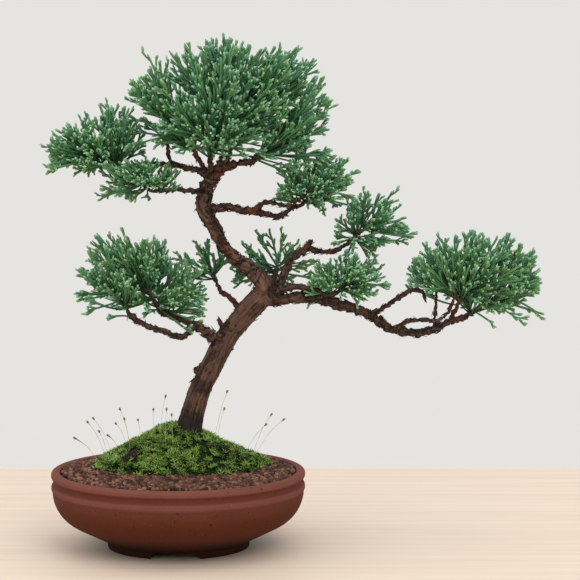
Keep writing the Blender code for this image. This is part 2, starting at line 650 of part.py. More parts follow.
def centre_on_origin():
    """Moves the whole assembly so that its box stands centred on the world's origin."""
    bpy.context.view_layer.update()
    graph = bpy.context.evaluated_depsgraph_get()
    corners = []
    for part in PARTS.objects:
        shown = part.evaluated_get(graph)
        corners += [shown.matrix_world @ Vector(corner) for corner in shown.bound_box]
    low = Vector(map(min, zip(*corners)))
    high = Vector(map(max, zip(*corners)))
    ASSEMBLY.location -= Vector((0.5 * (low.x + high.x), 0.5 * (low.y + high.y), low.z))
    bpy.context.view_layer.update()


for leftover in list(bpy.data.objects):
    bpy.data.objects.remove(leftover)
PARTS = new_collection("bonsai")
CUTTERS = new_collection("cutters")
LIMBS = new_collection("limbs")
LIMB_SPACES = new_collection("limb_spaces")
ASSEMBLY = bpy.data.objects.new("bonsai_root", None)
bpy.context.scene.collection.objects.link(ASSEMBLY)
WOOD_LINES = wood_lines()

WOOD_SPACE = make_wood_space()

make_wood()
make_pot()
make_drainage_mesh()
make_anchor_wire()
make_soil()
make_moss()
make_stalks()
make_wires()
make_foliage()
centre_on_origin()
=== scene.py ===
"""The looks of a juniper bonsai in a round clay pot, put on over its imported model.

Every piece rides on the one body, "root". Metres, +Z up, the front of the tree towards -Y.
"""
import math

import bmesh
import bpy
import numpy as np
from mathutils import Matrix, Vector, bvhtree, kdtree, noise


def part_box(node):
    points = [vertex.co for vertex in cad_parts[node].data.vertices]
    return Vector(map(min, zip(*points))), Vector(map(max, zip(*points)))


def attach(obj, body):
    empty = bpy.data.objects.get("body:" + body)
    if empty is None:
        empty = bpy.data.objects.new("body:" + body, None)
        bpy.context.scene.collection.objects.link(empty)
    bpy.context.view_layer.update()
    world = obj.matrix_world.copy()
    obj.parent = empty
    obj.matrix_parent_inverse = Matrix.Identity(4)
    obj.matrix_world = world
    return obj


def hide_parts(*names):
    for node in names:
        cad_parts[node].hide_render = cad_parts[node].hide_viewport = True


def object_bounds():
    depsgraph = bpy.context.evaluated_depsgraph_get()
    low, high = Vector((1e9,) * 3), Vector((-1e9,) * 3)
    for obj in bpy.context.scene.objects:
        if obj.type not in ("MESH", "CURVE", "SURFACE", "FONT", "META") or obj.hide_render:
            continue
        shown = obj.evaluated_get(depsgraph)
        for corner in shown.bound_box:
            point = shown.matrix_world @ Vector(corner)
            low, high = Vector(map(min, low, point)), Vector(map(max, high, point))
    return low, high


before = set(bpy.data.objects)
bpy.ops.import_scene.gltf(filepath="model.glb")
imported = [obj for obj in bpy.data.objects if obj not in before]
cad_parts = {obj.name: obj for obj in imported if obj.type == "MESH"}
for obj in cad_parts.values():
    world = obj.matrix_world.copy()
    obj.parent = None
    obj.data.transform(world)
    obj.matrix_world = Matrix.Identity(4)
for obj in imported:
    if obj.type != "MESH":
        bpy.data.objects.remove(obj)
cad_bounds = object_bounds()


# ---- The camera ----
# A long lens stands well in front of the pot, a little over its rim, and looks slightly down, so that
# the mouth of the pot is a thin ellipse and the foot ring still shows under the bowl.
MM = 0.001
CAMERA_FROM_POT = Vector((88.0, -1665.9, 354.2)) * MM
CAMERA_TILT = 84.8
CAMERA_LENS = 132.6
SENSOR_WIDTH = 36.0

pot_low, pot_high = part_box("pot")
pot_axis = Vector((0.5 * (pot_low.x + pot_high.x), 0.5 * (pot_low.y + pot_high.y), 0.0))
lens = bpy.data.cameras.new("camera")
lens.sensor_width = SENSOR_WIDTH
lens.lens = CAMERA_LENS
camera = bpy.data.objects.new("camera", lens)
camera.location = pot_axis + CAMERA_FROM_POT
camera.rotation_euler = (math.radians(CAMERA_TILT), 0, 0)
bpy.context.scene.collection.objects.link(camera)
bpy.context.scene.camera = camera


# ---- The room's light ----
# A pale room all round, brighter overhead and dim below the table, with three large soft panels: one
# over the front right, a weaker one from the left, and one high above that lights the foliage's tops.
ROOM_LEVELS = ((0.0, 0.25), (0.32, 0.45), (0.39, 0.776), (0.60, 0.776), (0.8, 0.95), (1.0, 1.2))
ROOM_TINT = (1.018, 1.0, 0.969)
PANELS = {
    "front_panel": ((0.45, -1.35, 1.10), 0.9, 7.5),
    "left_panel": ((-1.35, -0.85, 0.95), 0.9, 4.2),
    "top_panel": ((0.05, -0.15, 1.75), 1.0, 3.0),
}
LIGHT_TARGET = Vector((0, 0, 0.2))


class Wire:
    """One output of a node. Python's operators on it add Math nodes."""

    def __init__(self, wiring, socket):
        self.wiring = wiring
        self.socket = socket

    def worked(self, operation, first, second):
        return self.wiring.node("ShaderNodeMath", {"operation": operation}, {0: first, 1: second})

    def __add__(self, other):
        return self.worked("ADD", self, other)

    def __sub__(self, other):
        return self.worked("SUBTRACT", self, other)

    def __rsub__(self, other):
        return self.worked("SUBTRACT", other, self)

    def __mul__(self, other):
        return self.worked("MULTIPLY", self, other)

    __radd__ = __add__
    __rmul__ = __mul__


class Wiring:
    """A node tree in the making, of the room or of a material."""

    def __init__(self, tree):
        self.tree = tree

    def node(self, kind, settings, inputs, output=0):
        """A node of this kind with its settings made first, then its sockets' values or links."""
        made = self.tree.nodes.new(kind)
        for key, value in settings.items():
            if key == "stops":
                elements = made.color_ramp.elements
                while len(elements) < len(value):
                    elements.new(0.5)
                for element, (position, colour) in zip(elements, value):
                    element.position = position
                    element.color = colour
            else:
                setattr(made, key, value)
        for key, value in inputs.items():
            if isinstance(value, Wire):
                self.tree.links.new(value.socket, made.inputs[key])
            else:
                made.inputs[key].default_value = value
        return Wire(self, made.outputs[output])


world = bpy.data.worlds.new("room")
world.use_nodes = True
room = Wiring(world.node_tree)
around = room.node("ShaderNodeTexCoord", {}, {}, "Generated")
upward = room.node("ShaderNodeSeparateXYZ", {}, {0: around}, "Z")
stops = [(position, (*[level * tint for tint in ROOM_TINT], 1.0)) for position, level in ROOM_LEVELS]
levels = room.node("ShaderNodeValToRGB", {"stops": stops}, {0: upward * 0.5 + 0.5})
room.tree.links.new(levels.socket, room.tree.nodes["Background"].inputs["Color"])
bpy.context.scene.world = world
bpy.context.scene.view_settings.view_transform = "Standard"
for name, (place, side, power) in PANELS.items():
    panel = bpy.data.lights.new(name, "AREA")
    panel.size = side
    panel.energy = power
    lamp = bpy.data.objects.new(name, panel)
    lamp.location = place
    lamp.rotation_euler = (LIGHT_TARGET - lamp.location).to_track_quat("-Z", "Y").to_euler()
    bpy.context.scene.collection.objects.link(lamp)


# ---- The table ----
# A pale board that the pot stands on, with a faint straight grain along its length. It is only the
# stage: it belongs to no piece of the object.
TABLE_WIDTH = 3.2
TABLE_FRONT = -1.3
TABLE_BACK = 0.35
TABLE_THICKNESS = 0.03
TABLE_EDGE = 0.002


def paint(red, green, blue):
    """A colour as a paint chart gives it, 0 to 255 a channel, made linear for a shader."""
    channels = [value / 255 for value in (red, green, blue)]
    return (*[c / 12.92 if c < 0.04 else ((c + 0.055) / 1.055) ** 2.4 for c in channels], 1.0)


class Finish(Wiring):
    """A material in the making: its nodes, and the Principled shader that they feed."""

    def __init__(self, name, roughness=0.8, metallic=0.0, specular=0.4):
        self.material = bpy.data.materials.new(name)
        self.material.use_nodes = True
        super().__init__(self.material.node_tree)
        self.shader = self.tree.nodes["Principled BSDF"]
        levels = {"Roughness": roughness, "Metallic": metallic, "Specular IOR Level": specular}
        for socket, level in levels.items():
            self.shader.inputs[socket].default_value = level

    def place(self, centre=(0, 0, 0), scale=(1, 1, 1)):
        """The object's own coordinates, centred and stretched."""
        own = self.node("ShaderNodeTexCoord", {}, {}, "Object")
        moved = self.node("ShaderNodeVectorMath", {"operation": "SUBTRACT"}, {0: own, 1: centre})
        return self.node("ShaderNodeVectorMath", {"operation": "MULTIPLY"}, {0: moved, 1: scale})

    def cloud(self, place, scale, detail=3.0, roughness=0.55):
        inputs = {"Vector": place, "Scale": scale, "Detail": detail, "Roughness": roughness}
        return self.node("ShaderNodeTexNoise", {}, inputs)

    def band(self, value, low, high):
        """0 below the low value and 1 above the high one, smooth between them."""
        return self.node("ShaderNodeMapRange", {"interpolation_type": "SMOOTHSTEP"},
                         {0: value, 1: low, 2: high})

    def mix(self, share, first, second):
        """A blend of two colours, each one a wire or a paint chart's (red, green, blue)."""
        ends = [tone if isinstance(tone, Wire) else paint(*tone) for tone in (first, second)]
        return self.node("ShaderNodeMix", {"data_type": "RGBA"}, {0: share, 6: ends[0], 7: ends[1]}, 2)

    def stored(self, name, output="Fac"):
        return self.node("ShaderNodeAttribute", {"attribute_name": name}, {}, output)

    def wear(self, colour, roughness=None, height=None, depth=0.0005, strength=1.0):
        """Feeds the shader, with a Bump node for the height."""
        feeds = {"Base Color": colour}
        if roughness is not None:
            feeds["Roughness"] = roughness
        if height is not None:
            feeds["Normal"] = self.node("ShaderNodeBump", {},
                                        {"Height": height, "Distance": depth, "Strength": strength})
        for socket, wire in feeds.items():
            self.tree.links.new(wire.socket, self.shader.inputs[socket])
        return self.material


def show(name, mesh, material):
    """A new object in the scene for a finished mesh."""
    mesh.materials.clear()
    mesh.materials.append(material)
    made = bpy.data.objects.new(name, mesh)
    bpy.context.scene.collection.objects.link(made)
    return made


def mesh_from(shape, name):
    mesh = bpy.data.meshes.new(name)
    shape.to_mesh(mesh)
    shape.free()
    return mesh


def board_finish():
    finish = Finish("pale_board", roughness=0.55)
    grain = finish.cloud(finish.place(scale=(3, 90, 3)), 1.0, 4.0)
    colour = finish.mix(finish.band(grain, 0.3, 0.7), (219, 201, 182), (227, 210, 193))
    return finish.wear(colour, height=grain, depth=0.0002, strength=0.2)


shape = bmesh.new()
bmesh.ops.create_cube(shape, size=1.0)
bmesh.ops.scale(shape, verts=shape.verts, vec=(TABLE_WIDTH, TABLE_BACK - TABLE_FRONT, TABLE_THICKNESS))
bmesh.ops.translate(shape, verts=shape.verts,
                    vec=(0, 0.5 * (TABLE_BACK + TABLE_FRONT), -0.5 * TABLE_THICKNESS))
bmesh.ops.bevel(shape, geom=shape.edges, offset=TABLE_EDGE, segments=2, affect="EDGES", profile=0.5,
                material=-1)
show("table", mesh_from(shape, "table"), board_finish())


# ---- The pot ----
# One thrown and turned bowl of unglazed red-brown clay: a rolled rim over a shallow neck, a swelling
# shoulder and a foot ring with three cut-outs. It is fired once and left matt and slightly gritty.
RIM_BAND = 4.8 * MM
LIP_WIDTH = 7.0 * MM
NECK_DEPTH = 1.8 * MM
NECK_HEIGHT = 7.0 * MM
HIP_BELOW_RIM = 15.5 * MM
HIP_INSET = 1.0 * MM
SHOULDER_INSET = 0.1 * MM
HIP_BEND = 30.0 * MM
POT_WALL = 5.5 * MM
FLOOR_THICKNESS = 7.0 * MM
FOOT_RADIUS = 56.0 * MM
FOOT_HEIGHT = 6.5 * MM
FOOT_WALL = 9.0 * MM
FOOT_FLARE = 2.5 * MM
FOOT_EDGE = 0.8 * MM
NOTCH_COUNT = 3
NOTCH_WIDTH = 38.0 * MM
NOTCH_HEIGHT = 5.0 * MM
NOTCH_ROUNDING = 4.2 * MM
DRAIN_RADIUS = 7.0 * MM
POT_STEPS = 144
MERGE_DISTANCE = 0.001 * MM
# Painted shade darkens the foot's and the neck's tones; painted light lightens the shoulder's and the rim's.
SHADED_FOOT_TONES = ((38, 17, 9), (49, 23, 13))
BODY_TONES = ((76, 35, 20), (92, 44, 27))
LIT_SHOULDER_TONES = ((106, 60, 54), (120, 72, 65))
SHADED_NECK_TONES = ((90, 44, 32), (102, 53, 41))
LIT_RIM_TONES = ((106, 60, 50), (124, 76, 67))
# Up the pot's side: where a band starts and where it is whole, in millimetres, its strength and tones.
PAINTED_LIGHT_BANDS = (
    (4.0, 22.0, 1.0, BODY_TONES),
    (30.0, 44.5, 0.3, LIT_SHOULDER_TONES),
    (44.5, 46.0, 1.0, LIT_SHOULDER_TONES),
    (49.0, 51.5, 1.0, SHADED_NECK_TONES),
    (55.0, 57.2, 1.0, LIT_RIM_TONES),
)

rim_radius = 0.5 * (pot_high.x - pot_low.x)
rim_top = pot_high.z
floor_top = FOOT_HEIGHT + FLOOR_THICKNESS


def wall_line(inset, low, arc_steps=16):
    """The bowl's side from its widest point down to a height: an arc, then a straight cone."""
    centre = Vector((rim_radius - HIP_INSET - HIP_BEND, rim_top - HIP_BELOW_RIM))
    foot = Vector((FOOT_RADIUS + FOOT_FLARE, FOOT_HEIGHT)) - centre
    end = math.atan2(foot.y, foot.x) + math.acos(HIP_BEND / foot.length)
    line = []
    for step in range(arc_steps + 1):
        angle = end * step / arc_steps
        line.append(centre + (HIP_BEND - inset) * Vector((math.cos(angle), math.sin(angle))))
    drop = (line[-1].y - low) / math.cos(end)
    line.append(line[-1] + drop * Vector((math.sin(end), -math.cos(end))))
    return line


def round_corners(outline, reach, steps=4):
    """A closed outline with each of its corners turned into a short curve."""
    line = []
    for before, corner, after in zip(outline[-1:] + outline[:-1], outline, outline[1:] + outline[:1]):
        back, ahead = before - corner, after - corner
        start = corner + back * min(0.45, reach / back.length)
        end = corner + ahead * min(0.45, reach / ahead.length)
        for step in range(steps + 1):
            t = step / steps
            line.append((1 - t) ** 2 * start + 2 * t * (1 - t) * corner + t * t * end)
    return line


def turned(outline):
    """A closed outline of (radius, height) points spun about the pot's axis."""
    shape = bmesh.new()
    corners = [shape.verts.new((pot_axis.x + point.x, pot_axis.y, point.y)) for point in outline]
    rings = [shape.edges.new(pair) for pair in zip(corners, corners[1:] + corners[:1])]
    bmesh.ops.spin(shape, geom=corners + rings, cent=pot_axis, axis=(0, 0, 1), dvec=(0, 0, 0),
                   angle=math.tau, steps=POT_STEPS, use_merge=True, use_duplicate=False)
    bmesh.ops.remove_doubles(shape, verts=shape.verts, dist=MERGE_DISTANCE)
    bmesh.ops.recalc_face_normals(shape, faces=shape.faces)
    return shape


def pot_shape():
    outside = [
        (rim_radius - 0.65 * LIP_WIDTH, rim_top),
        (rim_radius - 0.17 * LIP_WIDTH, rim_top - 0.12 * RIM_BAND),
        (rim_radius, rim_top - 0.45 * RIM_BAND),
        (rim_radius, rim_top - RIM_BAND),
        (rim_radius - NECK_DEPTH, rim_top - RIM_BAND - 0.35 * NECK_HEIGHT),
        (rim_radius - NECK_DEPTH, rim_top - RIM_BAND - 0.6 * NECK_HEIGHT),
        (rim_radius - SHOULDER_INSET, rim_top - RIM_BAND - NECK_HEIGHT),
        (rim_radius - SHOULDER_INSET, rim_top - HIP_BELOW_RIM + FOOT_EDGE),
    ]
    foot = [
        (FOOT_RADIUS, FOOT_HEIGHT - FOOT_EDGE),
        (FOOT_RADIUS, 0),
        (FOOT_RADIUS - FOOT_WALL, 0),
        (FOOT_RADIUS - FOOT_WALL, FOOT_HEIGHT),
        (DRAIN_RADIUS, FOOT_HEIGHT),
        (DRAIN_RADIUS, floor_top),
    ]
    inner = wall_line(POT_WALL, floor_top)
    lip = [(inner[0].x, rim_top - 0.5 * RIM_BAND), (rim_radius - LIP_WIDTH, rim_top - 0.2 * RIM_BAND)]
    outline = outside + wall_line(0, FOOT_HEIGHT) + foot + inner[::-1] + lip
    return turned(round_corners([Vector(point) for point in outline], FOOT_EDGE))


def notch_shape():
    """The three cut-outs of the foot ring, as one cutter; the first faces the front."""
    shape = bmesh.new()
    for index in range(NOTCH_COUNT):
        cube = bmesh.ops.create_cube(shape, size=1.0)["verts"]
        bmesh.ops.scale(shape, verts=cube, vec=(NOTCH_WIDTH, 2.2 * FOOT_WALL, 2 * NOTCH_HEIGHT))
        bmesh.ops.translate(shape, verts=cube, vec=(0, -(FOOT_RADIUS - 0.5 * FOOT_WALL), 0))
        turn = Matrix.Rotation(math.tau * index / NOTCH_COUNT, 3, "Z")
        bmesh.ops.rotate(shape, verts=cube, cent=(0, 0, 0), matrix=turn)
        bmesh.ops.translate(shape, verts=cube, vec=pot_axis)
    bmesh.ops.bevel(shape, geom=shape.edges, offset=NOTCH_ROUNDING, segments=4, affect="EDGES", profile=0.5,
                    material=-1)
    return shape


def settled_mesh(piece):
    """The piece's mesh with its modifiers made real, and the piece removed."""
    graph = bpy.context.evaluated_depsgraph_get()
    mesh = bpy.data.meshes.new_from_object(piece.evaluated_get(graph))
    bpy.data.objects.remove(piece)
    return mesh


def clay_finish():
    """Fired clay with painted shade at the foot and in the neck's groove, and painted light on the shoulder
    and rim; each band up the pot's side in its own two tones.
    """
    finish = Finish("red_brown_clay", specular=0.12)
    place = finish.place(pot_axis)
    height = finish.node("ShaderNodeSeparateXYZ", {}, {0: place}, "Z")
    grit = finish.cloud(place, 1100, 4.0, 0.7)
    patches = finish.cloud(place, 28, 4.0)
    turning = finish.cloud(finish.place(pot_axis, (10, 10, 420)), 1.0, 3.0)
    # Small pits, dented by the bump and painted dark with the shade that falls inside them.
    shaded_pits = finish.band(finish.cloud(place, 300, 2.0), 0.68, 0.74)
    specks = finish.band(finish.cloud(place, 620, 1.0), 0.71, 0.78)
    colour = finish.mix(patches, *SHADED_FOOT_TONES)
    # Each band paints light or shade into the clay's colour: shade low down and in the neck, light on the
    # upturned shoulder and rim.
    for low, high, share, tones in PAINTED_LIGHT_BANDS:
        band = finish.band(height, low * MM, high * MM) * share
        colour = finish.mix(band, colour, finish.mix(patches, *tones))
    colour = finish.mix(finish.band(grit, 0.5, 0.78) * 0.16, colour, (150, 100, 84))
    colour = finish.mix(finish.band(turning, 0.5, 0.8) * 0.2, colour, (66, 33, 23))
    # Painted shade in the pits.
    colour = finish.mix(shaded_pits * 0.75, colour, (38, 19, 14))
    colour = finish.mix(specks * 0.18, colour, (160, 124, 106))
    relief = grit * 0.5 + turning * 0.5 - shaded_pits * 1.2
    return finish.wear(colour, 0.8 + grit * 0.15, relief, 0.0003, 0.6)


piece = show("pot_body", mesh_from(pot_shape(), "pot_body"), clay_finish())
cutter = show("notch_cutter", mesh_from(notch_shape(), "notch_cutter"), piece.data.materials[0])
cut = piece.modifiers.new("Notches", "BOOLEAN")
cut.object = cutter
pot_mesh = settled_mesh(piece)
bpy.data.objects.remove(cutter)
pot = show("pot_body", pot_mesh, pot_mesh.materials[0])
pot.data.shade_smooth()
pot.data.set_sharp_from_angle(angle=math.radians(40))
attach(pot, "root")
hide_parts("pot")


# ---- The drainage net and the anchor wire ----
# A square of black plastic net lies over the drain hole, and a staple of anodised aluminium wire comes
# up through two small holes beside it to hold the roots. Both are the model's own nodes.
def net_finish():
    finish = Finish("black_net", specular=0.3)
    scuffs = finish.cloud(finish.place(), 600, 4.0)
    colour = finish.mix(scuffs, (22, 22, 23), (52, 50, 48))
    return finish.wear(colour, 0.45 + scuffs * 0.3, scuffs, 0.0001, 0.4)


def wire_finish():
    finish = Finish("brown_wire", metallic=0.75)
    tarnish = finish.cloud(finish.place(), 420, 4.0, 0.65)
    colour = finish.mix(finish.band(tarnish, 0.35, 0.65), (36, 27, 23), (70, 54, 45))
    return finish.wear(colour, 0.38 + tarnish * 0.3, tarnish, 0.0002, 0.5)


def refinish(name, material):
    """A node of the model that keeps its shape and gets this material."""
    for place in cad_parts[name].material_slots:
        place.material = material


WIRE_FINISH = wire_finish()
refinish("drainage_mesh", net_finish())
refinish("anchor_wire", WIRE_FINISH)


# ---- The soil ----
# Hard baked clay grains, sieved to 3 to 5 mm, dark brown and damp, filled up to just under the rim.
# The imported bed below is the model's node; the loose grains lie on it in two layers.
GRAIN_SPACING = 3.6 * MM
GRAIN_HALF_SIZE = (1.4 * MM, 2.7 * MM)
GRAIN_SHAPES = 8
GRAIN_LIFTS = (-0.3 * MM, 1.0 * MM)
ROW_STEP = 0.87
GRAIN_JITTER = 0.4
MOSS_FRONT = 29.0 * MM
MOSS_TO_BACK_WALL = 17.5 * MM
MOSS_TO_SIDE_WALL = 22.5 * MM
MOSS_SHIFT = 2.0 * MM
GRAINS_FROM = 0.72

soil_low, soil_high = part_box("soil_bed")
soil_radius = 0.5 * (soil_high.x - soil_low.x)
moss_back = soil_radius - MOSS_TO_BACK_WALL
moss_centre = (pot_axis.x + MOSS_SHIFT, pot_axis.y + 0.5 * (moss_back - MOSS_FRONT))
moss_half_size = (soil_radius - MOSS_TO_SIDE_WALL, 0.5 * (moss_back + MOSS_FRONT))


def arrays_from(shape):
    """A small shape's points, and its faces as point numbers with their sizes."""
    shape.verts.index_update()
    points = np.array([vert.co for vert in shape.verts])
    corners = np.array([vert.index for face in shape.faces for vert in face.verts])
    sizes = np.array([len(face.verts) for face in shape.faces])
    shape.free()
    return points, corners, sizes


def store(mesh, name, values, kind="FLOAT", field="value"):
    """A value for each of the mesh's points, which its material reads."""
    mesh.attributes.new(name, kind, "POINT").data.foreach_set(field, np.ravel(values))


def joined_copies(name, batches, material):
    """One object from batches of copies: (small shape, the copies' points, stored values by name)."""
    points, corners, sizes, values = [], [], [], {}
    used = 0
    for (own, own_corners, own_sizes), places, stored in batches:
        count, size = places.shape[:2]
        starts = used + np.arange(count) * size
        points.append(places.reshape(-1, 3))
        corners.append((own_corners[None, :] + starts[:, None]).ravel())
        sizes.append(np.tile(own_sizes, count))
        used += count * size
        for key, value in stored.items():
            values.setdefault(key, []).append(np.broadcast_to(value, (count, size)).ravel())
    points, corners, sizes = map(np.concatenate, (points, corners, sizes))
    mesh = bpy.data.meshes.new(name)
    mesh.vertices.add(len(points))
    mesh.vertices.foreach_set("co", points.ravel())
    mesh.loops.add(len(corners))
    mesh.loops.foreach_set("vertex_index", corners)
    mesh.polygons.add(len(sizes))
    mesh.polygons.foreach_set("loop_start", np.cumsum(sizes) - sizes)
    mesh.update(calc_edges=True)
    for key, value in values.items():
        store(mesh, key, np.concatenate(value))
    mesh.shade_smooth()
    return show(name, mesh, material)


def size_of(vectors):
    return np.linalg.norm(vectors, axis=-1, keepdims=True)


def unit(vectors):
    return vectors / size_of(vectors)


def random_turns(random, count):
    """Rotation matrices spread evenly over all turns."""
    first = unit(random.normal(size=(count, 3)))
    second = unit(np.cross(first, random.normal(size=(count, 3))))
    return np.stack([first, second, np.cross(first, second)], axis=1)


def lump(seed):
    """A worn grain: a cube of 24 faces, rounded and dented."""
    shape = bmesh.new()
    bmesh.ops.create_cube(shape, size=2.0)
    bmesh.ops.subdivide_edges(shape, edges=shape.edges, cuts=1, use_grid_fill=True)
    for vert in shape.verts:
        out = vert.co.normalized()
        dent = noise.noise(out * 1.4 + Vector((seed, 0, 0)) * 7)
        vert.co = out.lerp(0.7 * vert.co, 0.35) * (1 + 0.38 * dent)
    bmesh.ops.scale(shape, verts=shape.verts, vec=(1.0, 0.85, 0.75))
    return arrays_from(shape)


def moss_edge(x, y):
    """Below 1 under the moss, and above 1 outside it, with a wandering edge."""
    wander = 0.30 * noise.noise(Vector((x, y, 0)) * 60) + 0.12 * noise.noise(Vector((x, y, 0.5)) * 190)
    across = (x - moss_centre[0]) / moss_half_size[0]
    along = (y - moss_centre[1]) / moss_half_size[1]
    return across ** 2 + along ** 2 + wander


def grain_places(random):
    """Where the grains lie: two jittered layers, inside the wall and outside the moss."""
    places = []
    steps = int(soil_radius / GRAIN_SPACING) + 1
    cells = [(column + 0.5 * (row % 2), ROW_STEP * row)
             for row in range(-steps, steps + 1) for column in range(-steps, steps + 1)]
    for lift in GRAIN_LIFTS:
        for cell in cells:
            x, y = (np.array(cell) + random.uniform(-GRAIN_JITTER, GRAIN_JITTER, 2)) * GRAIN_SPACING
            inside = math.hypot(x, y) < soil_radius - 0.4 * GRAIN_SPACING
            if inside and moss_edge(pot_axis.x + x, pot_axis.y + y) > GRAINS_FROM:
                z = soil_high.z + lift + random.uniform(-0.5, 0.6) * MM
                places.append((pot_axis.x + x, pot_axis.y + y, z))
    return np.array(places)


def soil_finish():
    finish = Finish("baked_clay_grains", specular=0.35)
    place = finish.place()
    tint = finish.stored("tint")
    fine = finish.cloud(place, 900, 4.0, 0.7)
    colour = finish.node("ShaderNodeValToRGB", {"stops": [
        (0.0, paint(38, 21, 14)), (0.35, paint(74, 44, 31)), (0.7, paint(116, 74, 56)),
        (0.9975, paint(146, 104, 82)), (0.9995, paint(196, 120, 52))]}, {0: tint})
    colour = finish.mix(finish.band(fine, 0.5, 0.8) * 0.5, colour, (138, 100, 80))
    damp = finish.band(finish.cloud(place, 70, 3.0), 0.45, 0.7)
    colour = finish.mix(damp * 0.45, colour, (34, 21, 15))
    return finish.wear(colour, 0.9 - fine * 0.25, fine, 0.0004, 0.8)


random = np.random.default_rng(31)
SOIL_FINISH = soil_finish()
refinish("soil_bed", SOIL_FINISH)
places = grain_places(random)
kinds = random.integers(0, GRAIN_SHAPES, len(places))
batches = []
for kind in range(GRAIN_SHAPES):
    mine = places[kinds == kind]
    grain = lump(kind)
    sizes = random.uniform(*GRAIN_HALF_SIZE, len(mine))
    turned_points = np.einsum("vi,mij->mvj", grain[0], random_turns(random, len(mine)))
    points = turned_points * sizes[:, None, None] + mine[:, None, :]
    batches.append((grain, points, {"tint": random.uniform(0, 1, (len(mine), 1))}))
grains = joined_copies("soil_grains", batches, SOIL_FINISH)
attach(grains, "root")


# ---- The moss ----
# A living cushion over the roots: short star-shaped shoots, bright at their tips, packed into clumps
# that break up at the edge into patches on the soil.
SHOOT_COUNT = 5200
SHOOT_LENGTH = (2.6 * MM, 4.8 * MM)
ROOT_COVER = 1.2 * MM
BARE_ROOT = (37.0 * MM, 7.0 * MM)
COLLAR_HEIGHT = 6.5 * MM
TRUNK_FOOT = Vector((pot_axis.x + 5 * MM, pot_axis.y + 8 * MM))
ROOTS_FROM_TRUNK = 18.0 * MM
COLLAR_REACH = (11.0 * MM, 28.0 * MM)
LEAFLETS = 5
LOOSE_COUNT = SHOOT_COUNT // 5
LOOSE_REACH = (0.9, 1.28)
LOOSE_EDGE = 1.12


def merged_copy(name):
    """A copy of a node's mesh with its loose triangles joined at their corners."""
    shape = bmesh.new()
    shape.from_mesh(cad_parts[name].data)
    bmesh.ops.remove_doubles(shape, verts=shape.verts, dist=MERGE_DISTANCE)
    shape.normal_update()
    return shape


def surface_points(shape, count, random, weigh):
    """Random places on a shape with the normals there, more of them where the weight is higher."""
    bmesh.ops.triangulate(shape, faces=shape.faces)
    corners = np.array([[vert.co for vert in face.verts] for face in shape.faces])
    normals = np.array([face.normal for face in shape.faces])
    smooth = np.array([[vert.normal for vert in face.verts] for face in shape.faces])
    areas = np.array([face.calc_area() for face in shape.faces]) * weigh(corners.mean(1), normals)
    picked = random.choice(len(areas), count, p=areas / areas.sum())
    shares = random.dirichlet((1, 1, 1), count)[:, :, None]
    return (corners[picked] * shares).sum(1), unit((smooth[picked] * shares).sum(1))


def star_shape():
    """One moss shoot: an upright spike with leaflets spread round it, one unit high."""
    shape = bmesh.new()
    for index in range(LEAFLETS + 1):
        spike = bmesh.ops.create_cone(shape, cap_ends=True, segments=3, radius1=0.17, radius2=0.0,
                                      depth=1.0)["verts"]
        bmesh.ops.translate(shape, verts=spike, vec=(0, 0, 0.5))
        if index < LEAFLETS:
            lean = Matrix.Rotation(math.radians(46 + 12 * (index % 2)), 3, "X")
            turn = Matrix.Rotation(math.tau * index / LEAFLETS, 3, "Z")
            bmesh.ops.rotate(shape, verts=spike, cent=(0, 0, 0), matrix=turn @ lean)
            bmesh.ops.translate(shape, verts=spike, vec=(0, 0, 0.2))
    return arrays_from(shape)


def facing(directions, random):
    """Rotation matrices whose third row points along each direction, with a random turn about it."""
    side = unit(np.cross(directions, random.normal(size=directions.shape)))
    return np.stack([side, np.cross(directions, side), directions], axis=1)


def moss_finish():
    finish = Finish("moss", roughness=0.75, specular=0.15)
    place = finish.place()
    tip = finish.stored("tip")
    tint = finish.stored("tint")
    patch = finish.cloud(place, 42, 3.0)
    dark = finish.mix(patch, (10, 22, 5), (26, 42, 11))
    bright = finish.mix(tint, (74, 126, 38), (174, 210, 108))
    bright = finish.mix(finish.band(patch, 0.56, 0.74) * 0.8, bright, (160, 184, 90))
    colour = finish.mix(finish.band(tip + (tint - 0.5) * 0.35, 0.2, 0.85), dark, bright)
    dead = finish.band(finish.cloud(place, 150, 2.0), 0.66, 0.72)
    colour = finish.mix(dead * 0.7, colour, (58, 40, 26))
    return finish.wear(colour)


def moss_bed_finish():
    finish = Finish("moss_bed", specular=0.2)
    place = finish.place()
    fine = finish.cloud(place, 700, 4.0, 0.7)
    colour = finish.mix(finish.band(fine, 0.35, 0.7), (14, 22, 8), (34, 52, 16))
    return finish.wear(colour, 0.9 - fine * 0.1, fine, 0.001, 1.0)


